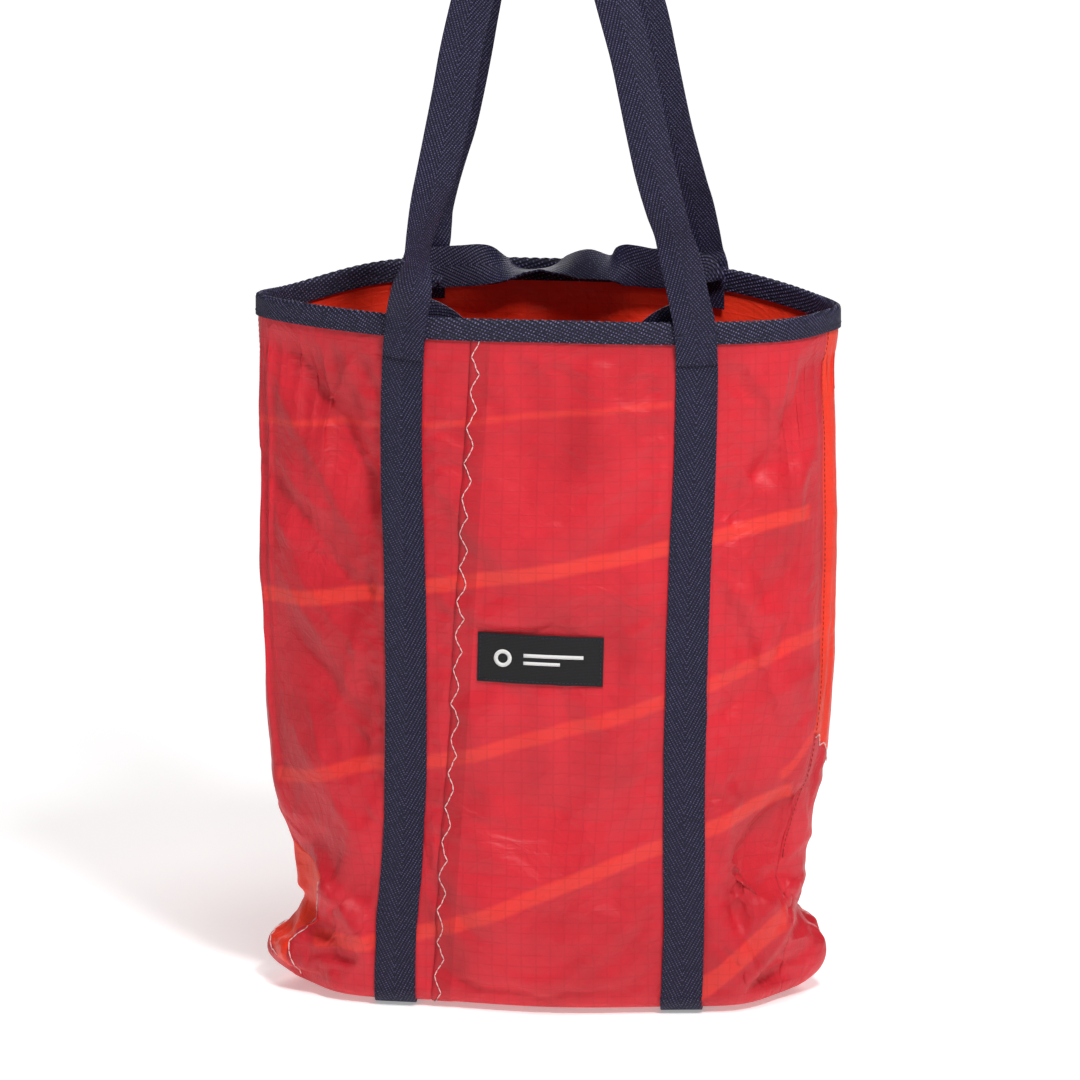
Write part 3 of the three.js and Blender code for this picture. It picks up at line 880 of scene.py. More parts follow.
@dataclass(frozen=True)
class Lap:
    """The lapped seam down the front: its line and the band where the cloth lies double."""

    top_x: float = -0.038
    bottom_x: float = -0.063
    width: float = 8.5 * MM
    edge: float = 3.4 * MM
    step: float = 0.5 * MM
    zigzag: float = 4.8 * MM
    run: float = 10.8 * MM


LAP = Lap()


def flattens(piece: bpy.types.Object) -> None:
    """A soft piece of the body: it rides on the bag."""
    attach(piece, "bag")
    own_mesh(piece)


def dress(piece: bpy.types.Object, material: bpy.types.Material) -> None:
    """Gives a piece its material."""
    piece.data.materials.clear()
    piece.data.materials.append(material)


# ------------------------------------------------------------------------------------ sag and folds


@dataclass(frozen=True)
class Crease:
    """A fold of the cloth along a line of (X, Z) points on the front.

    Attributes:
        line: The points, in metres.
        rise: Height of the ridge, or minus the depth of the valley, in metres.
        width: How far the cloth is lifted on the first and second side of the line, in metres.
        side: Which face of the bag it is on.
    """

    line: tuple[tuple[float, float], ...]
    rise: float
    width: tuple[float, float]
    side: Side = Side.FRONT

    def lift(self, points: Array) -> Array:
        """How far each point is pushed outward."""
        lift = np.zeros(points.shape[:-1])
        line, reach = np.array(self.line), 4 * max(self.width)
        low, high = line.min(0) - reach, line.max(0) + reach
        near = points[..., 1] * self.side.value > -0.012
        for axis, k in ((0, 0), (2, 1)):
            near &= (points[..., axis] > low[k]) & (points[..., axis] < high[k])
        lift[near] = self._profile(points[near][:, 0], points[near][:, 2])
        return lift

    def _profile(self, x: Array, z: Array) -> Array:
        """The lift at X x and height z: highest on the line, fading to its ends and both sides."""
        best = np.full(x.shape, np.inf)
        signed, fade = np.zeros(x.shape), np.ones(x.shape)
        count = len(self.line) - 1
        for i, ((ax, az), (bx, bz)) in enumerate(zip(self.line[:-1], self.line[1:])):
            dx, dz = bx - ax, bz - az
            raw = ((x - ax) * dx + (z - az) * dz) / math.hypot(dx, dz) ** 2
            h = np.clip(raw, 0, 1)
            ox, oz = x - ax - h * dx, z - az - h * dz
            away = np.hypot(ox, oz)
            nearer = away < best
            best = np.where(nearer, away, best)
            signed = np.where(nearer, np.sign(ox * dz - oz * dx), signed)
            place = np.clip((i + h) / count, 0.04, 0.96)
            fade = np.where(nearer, np.sin(np.pi * place) ** 0.5, fade)
        width = np.where(signed < 0, self.width[0], self.width[1])
        return self.rise * fade * np.exp(-((best / width) ** 1.3))


def strewn_creases(count: int, seed: int) -> list[Crease]:
    """Small crisp creases that run down towards the middle, most of them near the sides.

    Args:
        count: How many on each face.
        seed: The number that their places are drawn from.

    Returns:
        The creases.
    """
    draw = np.random.default_rng(seed)
    made = []
    for side in Side:
        for _ in range(count):
            hand = draw.choice((-1, 1))
            x = hand * max(0.0, 0.170 - abs(draw.normal(0, 0.042)))
            z = draw.uniform(0.015, 0.405)
            angle = math.radians(draw.normal(62, 20))
            length = draw.uniform(0.025, 0.115)
            dx, dz = -hand * math.cos(angle) * length, -math.sin(angle) * length
            bow = draw.normal(0, 0.12)
            middle = (x + dx / 2 - dz * bow, z + dz / 2 + dx * bow)
            line = ((x, z), middle, (x + dx, z + dz))
            rise = draw.choice((-1, 1)) * draw.uniform(0.6, 2.4) * MM
            width = (draw.uniform(2.6, 11) * MM, draw.uniform(2.6, 11) * MM)
            made.append(Crease(line, rise, width, side))
    return made


CREASES = (
    # the long soft fold across the front's left shoulder, with a lit ridge beside it
    Crease(((-0.166, 0.424), (-0.146, 0.392), (-0.120, 0.350), (-0.097, 0.312)), -0.0075, (0.009, 0.022)),
    Crease(((-0.174, 0.402), (-0.156, 0.362), (-0.134, 0.322), (-0.110, 0.280)), 0.0036, (0.012, 0.009)),
    Crease(((-0.172, 0.330), (-0.150, 0.300), (-0.120, 0.262)), -0.0034, (0.008, 0.020)),
    # short puckers under the binding beside the straps
    Crease(((-0.128, 0.408), (-0.124, 0.386), (-0.112, 0.366)), -0.0022, (0.005, 0.007)),
    Crease(((-0.112, 0.410), (-0.108, 0.386)), -0.0018, (0.004, 0.005)),
    Crease(((-0.150, 0.408), (-0.148, 0.380)), 0.0014, (0.006, 0.005)),
    Crease(((-0.058, 0.410), (-0.061, 0.380)), -0.0016, (0.004, 0.006)),
    Crease(((-0.012, 0.408), (-0.016, 0.372)), -0.0010, (0.006, 0.009)),
    Crease(((0.042, 0.408), (0.040, 0.376)), 0.0010, (0.007, 0.006)),
    Crease(((0.066, 0.408), (0.068, 0.370)), -0.0016, (0.005, 0.007)),
    Crease(((0.118, 0.408), (0.122, 0.376)), -0.0020, (0.006, 0.004)),
    # the pull from the right corner and the dent beside the right strap
    Crease(((0.164, 0.412), (0.153, 0.378), (0.140, 0.350), (0.127, 0.328)), -0.0062, (0.018, 0.007)),
    Crease(((0.166, 0.352), (0.152, 0.318), (0.147, 0.270)), 0.0030, (0.008, 0.012)),
    Crease(((0.112, 0.330), (0.122, 0.290), (0.136, 0.262)), -0.0026, (0.008, 0.014)),
    Crease(((0.110, 0.268), (0.134, 0.252), (0.158, 0.246)), 0.0018, (0.007, 0.012)),
    # the lower right: a broad dent whose edge runs to the corner
    Crease(((0.168, 0.146), (0.144, 0.120), (0.124, 0.094), (0.116, 0.070), (0.124, 0.046)), -0.0085,
           (0.022, 0.007)),
    Crease(((0.152, 0.088), (0.149, 0.060), (0.136, 0.034), (0.120, 0.012)), 0.0050, (0.007, 0.014)),
    Crease(((0.166, 0.036), (0.150, 0.022), (0.132, 0.010)), -0.0040, (0.006, 0.008)),
    # the lower left: the folded corner of the base
    Crease(((-0.147, 0.100), (-0.133, 0.076), (-0.116, 0.056), (-0.098, 0.030)), 0.0074, (0.008, 0.018)),
    Crease(((-0.156, 0.066), (-0.140, 0.048), (-0.122, 0.032)), -0.0056, (0.012, 0.009)),
    Crease(((-0.163, 0.034), (-0.148, 0.022), (-0.130, 0.014)), 0.0030, (0.006, 0.007)),
    # sag between the straps
    Crease(((-0.060, 0.306), (-0.020, 0.292), (0.050, 0.314)), 0.0024, (0.034, 0.024)),
    Crease(((-0.055, 0.155), (0.000, 0.130), (0.070, 0.112)), -0.0042, (0.018, 0.030)),
    Crease(((-0.050, 0.075), (0.010, 0.048), (0.066, 0.060)), 0.0040, (0.022, 0.018)),
    Crease(((0.030, 0.215), (0.050, 0.160), (0.072, 0.120)), 0.0022, (0.010, 0.014)),
    Crease(((-0.064, 0.260), (-0.050, 0.200), (-0.052, 0.150)), -0.0024, (0.008, 0.014)),
    # the left third, dented along the strap
    Crease(((-0.164, 0.240), (-0.134, 0.205), (-0.104, 0.150)), -0.0052, (0.018, 0.022)),
    Crease(((-0.154, 0.168), (-0.128, 0.130), (-0.108, 0.098)), 0.0042, (0.012, 0.016)),
    Crease(((-0.104, 0.330), (-0.108, 0.260), (-0.106, 0.190)), -0.0024, (0.007, 0.010)),
    # the back
    Crease(((-0.150, 0.330), (-0.090, 0.270), (-0.020, 0.245)), -0.0042, (0.022, 0.030), Side.BACK),
    Crease(((0.150, 0.350), (0.110, 0.300), (0.030, 0.262)), -0.0046, (0.020, 0.028), Side.BACK),
    Crease(((-0.130, 0.110), (-0.060, 0.070), (0.020, 0.055)), 0.0040, (0.018, 0.020), Side.BACK),
    Crease(((0.145, 0.090), (0.105, 0.060), (0.070, 0.030)), 0.0050, (0.012, 0.014), Side.BACK),
)  # fmt: skip


@dataclass(frozen=True)
class ClothSag:
    """Gives the shell the slack of real cloth: a simulation, given folds and fine crinkles."""

    slack: float = 0.022
    frames: int = 26
    cap: float = 0.0075
    share: int = 4
    crinkle: float = 0.0006
    strewn: int = 80
    depth: float = 1.3

    def holds(self, shell: ClothShell) -> Array:
        """How firmly each point is held, 1 under the binding, the straps and the base.

        Args:
            shell: The shell.

        Returns:
            A table the size of the shell's.
        """
        x, z = shell.base[..., 0], shell.base[..., 2]
        rim = smoothstep(z, 0.396, 0.415)
        foot = 1 - smoothstep(shell.s, -0.012, 0.012)[:, None]
        half = shell.sizes.webbing / 2
        under = np.zeros_like(x)
        for hand in Hand:
            middle = STRAP_LINES[hand].centre(z)
            under = np.maximum(under, 1 - smoothstep(np.abs(x - middle), half - 1 * MM, half + 6 * MM))
        off_x = np.abs(x - Label.CENTRE_X) / (Label.WIDTH / 2)
        off_z = np.abs(z - Label.CENTRE_Z) / (Label.HEIGHT / 2)
        patch = (1 - smoothstep(np.maximum(off_x, off_z), 0.9, 1.5)) * (shell.base[..., 1] < 0)
        return np.clip(np.maximum.reduce([rim, foot + 0 * x, under, patch]), 0, 1)

    def apply(self, shell: ClothShell) -> None:
        """Moves the shell."""
        loose = 1 - self.holds(shell)
        shell.move(self._simulated(shell, 1 - loose) * loose[..., None])
        lift = np.zeros(loose.shape)
        for crease in [*CREASES, *strewn_creases(self.strewn, seed=7)]:
            lift += crease.lift(shell.base)
        lift = lift * self.depth + self._crinkles(shell)
        shell.move(shell.normal * (lift * loose)[..., None])

    def _crinkles(self, shell: ClothShell) -> Array:
        """Fine ridges all over the cloth, finer lengthwise than across."""
        out = np.zeros(shell.base.shape[:2])
        for j, row in enumerate(shell.base):
            for i, (x, y, z) in enumerate(row):
                place = Vector((x * 17 + z * 6, y * 17, z * 12 - x * 5))
                out[j, i] = noise.ridged_multi_fractal(place, 0.9, 2.1, 3, 1.0, 2.0)
        return (out - out.mean()) * self.crinkle

    def _simulated(self, shell: ClothShell, hold: Array) -> Array:
        """How far a cloth simulation moves each point of the shell.

        Args:
            shell: The shell.
            hold: How firmly each point is held.

        Returns:
            A table of moves, the size of the shell's.
        """
        step_t, step_s = self.share, self.share // 2
        points = shell.shape[::step_s, ::step_t]
        held = hold[::step_s, ::step_t]
        rows, columns = points.shape[:2]
        bm = bmesh.new()
        bmesh.ops.create_grid(bm, x_segments=columns, y_segments=rows - 1, size=0.5)
        column_of = bm.verts.layers.int.new("column")
        row_of = bm.verts.layers.int.new("row")
        for vertex in bm.verts:
            i = round((vertex.co.x + 0.5) * columns) % columns
            j = round((vertex.co.y + 0.5) * (rows - 1))
            vertex[column_of], vertex[row_of] = i, j
            vertex.co = points[j, i]
        bmesh.ops.remove_doubles(bm, verts=bm.verts, dist=1e-6)
        places = [(v[row_of], v[column_of]) for v in bm.verts]
        work = mesh_object("cloth_work", bm)
        pins = work.vertex_groups.new(name="held")
        for index, (j, i) in enumerate(places):
            pins.add([index], float(held[j, i]), "REPLACE")
        self._cloth_settings(work)
        scene = bpy.context.scene
        for number in range(1, self.frames + 1):
            scene.frame_set(number)
        shown = work.evaluated_get(bpy.context.evaluated_depsgraph_get())
        moved = np.array([v.co for v in shown.data.vertices])
        by = np.zeros(points.shape)
        for (j, i), place in zip(places, moved):
            by[j, i] = place - points[j, i]
        scene.frame_set(1)
        bpy.data.objects.remove(work)
        size = np.linalg.norm(by, axis=-1, keepdims=True)
        log.info("cloth simulation moved the shell by up to %.1f mm", size.max() / MM)
        by *= self.cap * np.tanh(size / self.cap) / np.maximum(size, 1e-9)
        return self._finer(self._finer(by, step_t, 1), step_s, 0)

    def _cloth_settings(self, work: bpy.types.Object) -> None:
        """Sets the simulation up: light crisp cloth cut a little larger than its place."""
        cloth = work.modifiers.new("Cloth", "CLOTH").settings
        cloth.quality, cloth.mass, cloth.air_damping = 6, 0.12, 2.0
        cloth.tension_stiffness = cloth.compression_stiffness = 22
        cloth.shear_stiffness, cloth.bending_stiffness = 9, 0.35
        cloth.tension_damping = cloth.compression_damping = 10
        cloth.shrink_min = cloth.shrink_max = -self.slack
        cloth.vertex_group_mass = "held"
        cloth.use_pressure, cloth.uniform_pressure_force = True, 0.25
        cloth.effector_weights.gravity = 0.6

    @staticmethod
    def _finer(table: Array, times: int, axis: int) -> Array:
        """A table with rows or columns added smoothly between its own; columns close into a ring."""
        table = np.moveaxis(table, axis, 0)
        count = len(table)
        total = count * times if axis == 1 else (count - 1) * times + 1
        place = np.arange(total) / times
        i = np.floor(place).astype(int)
        h = (place - i).reshape(-1, *[1] * (table.ndim - 1))
        near = [
            table[(i + k) % count] if axis == 1 else table[np.clip(i + k, 0, count - 1)]
            for k in (-1, 0, 1, 2)
        ]
        a, b, c, d = near
        curve = b + 0.5 * h * (c - a + h * (2 * a - 5 * b + 4 * c - d + h * (3 * (b - c) + d - a)))
        return np.moveaxis(curve, 0, axis)


# ------------------------------------------------------------------------------------ sub-assemblies


@dataclass(frozen=True)
class StrapLine:
    """Where a sewn strap runs: its X at heights up the bag, which wanders as sewn webbing does."""

    x: float
    front: tuple[tuple[float, float], ...]

    def centre(self, z: Array, side: Side = Side.FRONT) -> Array:
        """X of the strap's middle at height z."""
        if side is Side.BACK:
            return self.x + 0 * np.asarray(z, float)
        return along_points(z, self.front)


STRAP_LINES = {
    Hand.LEFT: StrapLine(-0.080, ((0.0, -0.0885), (0.043, -0.0880), (0.086, -0.0842), (0.145, -0.0815),
                                  (0.250, -0.0815), (0.375, -0.0835), (0.407, -0.0825), (0.430, -0.0800))),
    Hand.RIGHT: StrapLine(0.092, ((0.0, 0.0850), (0.043, 0.0865), (0.145, 0.0868), (0.256, 0.0888),
                                  (0.375, 0.0930), (0.407, 0.0932), (0.430, 0.0920))),
}  # fmt: skip


class ClothBody:
    """The cloth: two front pieces, two back pieces and the base."""

    FRONT_FINE, BACK_FINE = 1.9 * MM, 2.5 * MM
    TUCK = 0.005
    WRAP_FROM = 0.75

    def __init__(self, shell: ClothShell, finishes: Finishes) -> None:
        """Keeps the shell and the finishes."""
        self.shell, self.finishes = shell, finishes
        self.top = float(shell.s_of(shell.sizes.height - 2.0 * MM))
        ring = np.linalg.norm(np.diff(shell.base[-1], axis=0, append=shell.base[-1][:1]), axis=1)
        self.round = float(ring.sum())

    def seam_x(self, s: Array) -> Array:
        """X of the front seam at distance s up the wall."""
        share = np.clip(np.asarray(s, float) / self.top, 0, 1) ** 0.9
        return LAP.bottom_x + (LAP.top_x - LAP.bottom_x) * share

    def left_edge(self, s: Array) -> Array:
        """Place t of the front's left edge, which turns on to the front near the base."""
        z = self.shell.height_of(s)
        x = along_points(z, LEFT_EDGE_X)
        t = self.shell.place(Side.FRONT, x, s)
        share = 1 - smoothstep(z, 0.078, 0.110)
        return t * share

    def tucked(self, s: Array) -> Array:
        """Place t of the back's left edge, which lies a little way under the front's."""
        return 1 + self.left_edge(s) + self.TUCK

    def wrapped(self, t: Array, s: Array) -> Array:
        """Place t of the back's cloth, drawn round the left corner where it shows at the front."""
        last = 1 + self.TUCK
        share = smoothstep((t - SIDE_RIGHT) / (last - SIDE_RIGHT), self.WRAP_FROM, 1.0)
        return t + (self.tucked(s) - last) * share

    def under_front(self, t: Array, s: Array) -> Array:
        """How far the back's cloth stands off the shell: a little inward where the front covers it."""
        return -LAP.step * smoothstep(t - 1 - self.left_edge(s), -0.004, 0.0)

    def back_seam_s(self, t: Array) -> Array:
        """s of the seam across the back at place t, which comes round the left corner low down."""
        t = np.asarray(t, float)
        share = np.clip((1.0 - t) / (1.0 - SIDE_RIGHT), 0, 1) ** 0.9
        z = 0.012 + (0.174 - 0.012) * share
        return self.shell.s_of(np.where(t >= 1.0, 0.012, z))

    def build(self) -> None:
        """Makes every piece of cloth."""
        self._front_left()
        self._front_right()
        self._back_lower()
        self._back_upper()
        self._base()

    def _finish(self, piece: bpy.types.Object, node: str, material: bpy.types.Material) -> None:  # fmt: skip
        """Thickens, dresses and attaches a piece of cloth."""
        thicken(piece, self.shell.sizes.cloth_thick, -1)
        dress(piece, material)
        flattens(piece)
        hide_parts(node)
        log.info("%s: cloth, %d faces", piece.name, len(piece.data.polygons))

    def _panel(self, name: str, left: Callable, right: Callable, low: Callable, high: Callable,
               out: Callable, extra: Callable | None = None) -> bpy.types.Object:  # fmt: skip
        """A panel between two edges, given as places t for s, and two more, given as s for t."""
        middle = np.array([self.top / 2])
        near_0, far_0 = float(left(middle)[0]), float(right(middle)[0])
        wide = abs(far_0 - near_0)
        fine = self.FRONT_FINE if wide < 0.4 else self.BACK_FINE
        columns = round(wide * self.round / fine)
        rows = round((self.top - self.shell.edge) / fine)

        def spot(u: Array, v: Array) -> tuple[Array, Array]:
            t = near_0 + (far_0 - near_0) * u
            start, end = low(t), high(t)
            s = start + (end - start) * v
            if far_0 > 1:
                return self.wrapped(t, s), s
            return left(s) + (right(s) - left(s)) * u, s

        def lay(u: Array, v: Array) -> Array:
            t, s = spot(u, v)
            return self.shell.at(t, s, out(t, s))

        def chart(u: Array, v: Array) -> Array:
            t, s = spot(u, v)
            return np.column_stack([t * self.round, s])

        def second(u: Array, v: Array) -> Array:
            return extra(*spot(u, v))

        return laid_sheet(name, columns, rows, lay, chart, second if extra else None)

    def _foot_line(self, t: Array) -> Array:
        """The lower edge of the shell, as s for t."""
        return np.full_like(t, self.shell.edge)

    def _top_line(self, t: Array) -> Array:
        """The cloth's upper edge, as s for t."""
        return np.full_like(t, self.top)

    @staticmethod
    def _right_side(s: Array) -> Array:
        """The right side seam, as t for s."""
        return np.full_like(s, SIDE_RIGHT)

    def _front_left(self) -> None:
        """The front's left piece, which runs on under the seam's lap."""
        shell = self.shell

        def right(s: Array) -> Array:
            return shell.place(Side.FRONT, self.seam_x(s) + LAP.width - 1.5 * MM, s)

        def out(t: Array, s: Array) -> Array:
            x = shell.at(t, s)[:, 0]
            return -LAP.step * smoothstep(x - self.seam_x(s), -LAP.edge - 2 * MM, -LAP.edge)

        edges = (self._foot_line, self._top_line)
        piece = self._panel("front_panel_left", self.left_edge, right, *edges, out)
        self._finish(piece, "front_panel_left", self.finishes.front)

    def _front_right(self) -> None:
        """The front's right piece, whose left edge is lapped over the other."""
        shell = self.shell

        def left(s: Array) -> Array:
            return shell.place(Side.FRONT, self.seam_x(s) - LAP.edge, s)

        def out(t: Array, s: Array) -> Array:
            x = shell.at(t, s)[:, 0]
            over = 1 - smoothstep(x - self.seam_x(s), LAP.width - 1 * MM, LAP.width + 1.5 * MM)
            return LAP.step * 0.7 * over

        def beside(t: Array, s: Array) -> Array:
            x = shell.at(t, s)[:, 0]
            return np.column_stack([x - self.seam_x(s), s])

        edges = (self._foot_line, self._top_line)
        piece = self._panel("front_panel_right", left, self._right_side, *edges, out, beside)
        self._finish(piece, "front_panel_right", self.finishes.lapped)

    def _back_lower(self) -> None:
        """The lower, crimson piece of the back."""
        edges = (self._right_side, self.tucked, self._foot_line, self.back_seam_s)
        piece = self._panel("back_panel_lower", *edges, self.under_front)
        self._finish(piece, "back_panel_lower", self.finishes.plain)

    def _back_upper(self) -> None:
        """The upper, orange piece of the back, which comes round the left corner at the bottom."""

        def low(t: Array) -> Array:
            return self.back_seam_s(t) - 3 * MM

        def out(t: Array, s: Array) -> Array:
            below = 1 - smoothstep(s - self.back_seam_s(t), 4 * MM, 7 * MM)
            return self.under_front(t, s) - LAP.step * 0.5 * below

        edges = (self._right_side, self.tucked, low, self._top_line)
        piece = self._panel("back_panel_upper", *edges, out)
        self._finish(piece, "back_panel_upper", self.finishes.orange)

    def _base(self) -> None:
        """The stretch of cloth that the bag stands on, inside the rounded bottom edge."""
        bm = bmesh.new()
        count = 280
        bmesh.ops.create_circle(bm, cap_ends=True, segments=count, radius=1)
        for vertex in bm.verts:
            turn = (math.atan2(vertex.co.y, vertex.co.x) / (2 * math.pi)) % 1
            vertex.co = self.shell.at(np.array([turn]), np.array([self.shell.edge]))[0]
        for step in (0.012, 0.012, 0.012):
            bmesh.ops.inset_region(bm, faces=bm.faces[-1:], thickness=step, use_even_offset=False)
            bm.faces.ensure_lookup_table()
        bmesh.ops.triangulate(bm, faces=[f for f in bm.faces if len(f.verts) > 4])
        bmesh.ops.recalc_face_normals(bm, faces=bm.faces)
        if bm.faces[0].normal.z > 0:
            bmesh.ops.reverse_faces(bm, faces=bm.faces)
        layer = bm.loops.layers.uv.new("UVMap")
        for face in bm.faces:
            for loop in face.loops:
                loop[layer].uv = loop.vert.co.xy
        piece = mesh_object("base_panel", bm)
        material = self.finishes.plain
        self._finish(piece, "base_panel", material)


# X of the left edge of the front at heights near the base, where the back comes round the corner.
LEFT_EDGE_X = (
    (0.0, -0.140), (0.012, -0.1480), (0.022, -0.1500), (0.035, -0.1485), (0.050, -0.1440),
    (0.064, -0.1390), (0.074, -0.1335), (0.084, -0.1370), (0.094, -0.1430), (0.106, -0.1480),
)  # fmt: skip


class MouthBinding:
    """Webbing folded in half over the top edge, all round the mouth, with a row of stitches."""

    def __init__(self, shell: ClothShell, finishes: Finishes) -> None:
        """Keeps the shell and the finishes."""
        self.shell, self.finishes = shell, finishes
        self.leg = shell.sizes.webbing / 2
        self.outer, self.inner = 1.05 * MM, -2.1 * MM

    def section(self, u: Array) -> tuple[Array, Array]:
        """Outward and upward places of the folded webbing's middle layer, u 0 to 1 across it."""
        radius = (self.outer - self.inner) / 2
        straight = self.leg - radius
        bend = math.pi * radius
        total = 2 * straight + bend
        d = np.asarray(u, float) * total
        turn = np.clip((d - straight) / radius, 0, math.pi)
        out = self.inner + radius + radius * np.cos(turn)
        up = radius * np.sin(turn) - radius
        up = up + np.minimum(d, straight) - straight
        up = up - np.maximum(0, d - straight - bend)
        return out, up - self.shell.sizes.webbing_thick / 2

    def build(self) -> None:
        """Makes the binding and its stitches."""
        shell, rim = self.shell, self.shell.rim
        length = 0.772
        pitch = 3.4 * MM

        def lay(u: Array, v: Array) -> Array:
            out, up = self.section(u)
            over = np.clip(1 - np.abs(2 * u - 1) * 3, 0, 1)
            slant = v * length + np.abs(u - 0.5) * 2 * self.leg * 1.9
            rope = np.abs(np.sin(np.pi * slant / pitch)) * 0.55 * MM
            return shell.at(v, rim + up, out) + (rope * over)[:, None] * np.array([0.0, 0.0, 1.0])

        def chart(u: Array, v: Array) -> Array:
            return np.column_stack([(0.5 - u) * 2 * self.leg, v * length])

        piece = laid_sheet("rim_binding", 18, 1100, lay, chart)
        bm = bmesh.new()
        bm.from_mesh(piece.data)
        bmesh.ops.remove_doubles(bm, verts=bm.verts, dist=1e-6)
        bm.to_mesh(piece.data)
        bm.free()
        thicken(piece, shell.sizes.webbing_thick, 0, 0.3 * MM)
        dress(piece, self.finishes.binding)
        flattens(piece)
        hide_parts("rim_binding")
        lines = []
        for out in (self.outer + 0.65 * MM, self.inner - 0.65 * MM):
            t = np.linspace(0, 1, 242)
            s = np.full_like(t, rim - self.leg + 2.2 * MM)
            spot = shell.at(t, s, out)
            lines.append((spot, shell.at(t, s, out + MM * np.sign(out)) - spot))
        seam = stitches("rim_binding_stitches", lines, 0.6 * MM, 0.5 * MM)
        dress(seam, self.finishes.navy)
        flattens(seam)
        log.info("binding: %d faces", len(piece.data.polygons))


class BodyStraps:
    """The webbing sewn down the front and back, and on under the base, with its stitches."""

    def __init__(self, shell: ClothShell, finishes: Finishes) -> None:
        """Keeps the shell and the finishes."""
        self.shell, self.finishes = shell, finishes
        self.half = shell.sizes.webbing / 2
        self.thick = shell.sizes.webbing_thick

    def rise(self, s: Array) -> Array:
        """How far a strap's underside stands off the cloth, more where it crosses the binding."""
        lift = smoothstep(s, self.shell.rim - 0.024, self.shell.rim - 0.0125)
        return 0.75 * MM + (1.85 * MM - 0.75 * MM) * lift

    def strip(self, name: str, side: Side, hand: Hand, low: float, high: float,
              over: float, rows: int) -> bpy.types.Object:  # fmt: skip
        """A length of webbing laid flat on the bag.

        Args:
            name: The piece's name.
            side: The face that it is on.
            hand: Which of the two straps it follows.
            low: s of its lower end.
            high: s of its upper end.
            over: How far it stands above the sewn strap's place.
            rows: Faces along it.

        Returns:
            The piece.
        """
        line, shell = STRAP_LINES[hand], self.shell

        def lay(u: Array, v: Array) -> Array:
            s = low + (high - low) * v
            z = shell.height_of(s)
            x = line.centre(z, side) - side.value * (2 * u - 1) * self.half
            crown = (1 - (2 * u - 1) ** 2) * 0.25 * MM
            return shell.on(side, x, s, self.rise(s) + self.thick + over + crown)

        def chart(u: Array, v: Array) -> Array:
            return np.column_stack([(u - 0.5) * 2 * self.half, v * (high - low)])

        piece = laid_sheet(name, 14, rows, lay, chart)
        thicken(piece, self.thick, -1, 0.3 * MM)
        dress(piece, self.finishes.webbing)
        return piece

    def rows_of_stitches(self, name: str, side: Side, hand: Hand, over: float) -> bpy.types.Object:
        """Two rows of stitches down a strap, near its edges."""
        line, shell, lines = STRAP_LINES[hand], self.shell, []
        for edge in (-1, 1):
            s = np.arange(0.002, shell.rim - 0.026, 3.0 * MM)
            x = line.centre(shell.height_of(s), side) + edge * (self.half - 2.2 * MM)
            out = self.rise(s) + self.thick + over
            points = shell.on(side, x, s, out)
            lines.append((points, shell.on(side, x, s, out + MM) - points))
        seam = stitches(name, lines, 0.55 * MM, 0.4 * MM, 0.8)
        dress(seam, self.finishes.navy)
        return seam

    def tack(self, name: str, side: Side, hand: Hand, below: float) -> bpy.types.Object:
        """Rows of stitches across a strap, where a long handle is sewn down."""
        line, shell = STRAP_LINES[hand], self.shell
        lines = []
        for row in (0.0, 1.3 * MM):
            s = np.full(12, shell.rim - below - row)
            x = line.centre(shell.height_of(s), side) + np.linspace(-1, 1, 12) * (self.half - MM)
            out = self.rise(s) + self.thick * 2 + 0.55 * MM
            points = shell.on(side, x, s, out)
            lines.append((points, shell.on(side, x, s, out + MM) - points))
        seam = stitches(name, lines, 0.8 * MM, 0.6 * MM)
        dress(seam, self.finishes.navy)
        return seam

    def build(self) -> None:
        """Makes the straps, their stitches and the lengths under the base."""
        for hand in Hand:
            for side in Side:
                face = side.name.lower()
                name = f"{face}_strap_{hand.value}"
                piece = self.strip(name, side, hand, 0.0, self.shell.rim, 0, 260)
                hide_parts(name)
                flattens(piece)
                flattens(self.rows_of_stitches(f"{name}_stitches", side, hand, 0.12 * MM))
                for row, below in (("upper", 6.5 * MM), ("lower", 23 * MM)):
                    tack_name = f"{face}_{hand.value}_tack_{row}"
                    seam = self.tack(tack_name, side, hand, below)
                    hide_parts(tack_name)
                    flattens(seam)
                log.info("%s: webbing, %d faces", name, len(piece.data.polygons))
            self._under_base(hand)

    def _under_base(self, hand: Hand) -> None:
        """The webbing that runs under the base from the front strap to the back one."""
        shell, line = self.shell, STRAP_LINES[hand]
        bend = -shell.edge
        flat = 0.062
        total = 2 * bend + flat

        def lay(u: Array, v: Array) -> Array:
            d = v * total
            share = np.clip((d - bend) / flat, 0, 1)
            x0, x1 = (float(line.centre(0.0, side)) for side in (Side.FRONT, Side.BACK))
            offset = (2 * u - 1) * self.half
            s_front, s_back = -np.minimum(d, bend), -np.clip(total - d, 0, bend)
            out = self.rise(np.zeros_like(v)) + self.thick
            front = shell.on(Side.FRONT, x0 + offset, s_front, out)
            back = shell.on(Side.BACK, x1 + offset, s_back, out)
            ease = smoothstep(share, 0, 1)[:, None]
            place = front * (1 - share[:, None]) + back * share[:, None]
            place[:, 0] = (front * (1 - ease) + back * ease)[:, 0]
            return place

        def chart(u: Array, v: Array) -> Array:
            return np.column_stack([(u - 0.5) * 2 * self.half, -v * total])

        name = f"base_strap_{hand.value}"
        piece = laid_sheet(name, 14, 80, lay, chart)
        bm = bmesh.new()
        bm.from_mesh(piece.data)
        bmesh.ops.reverse_faces(bm, faces=bm.faces)
        bm.to_mesh(piece.data)
        bm.free()
        thicken(piece, self.thick, -1, 0.3 * MM)
        dress(piece, self.finishes.webbing)
        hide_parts(name)
        flattens(piece)


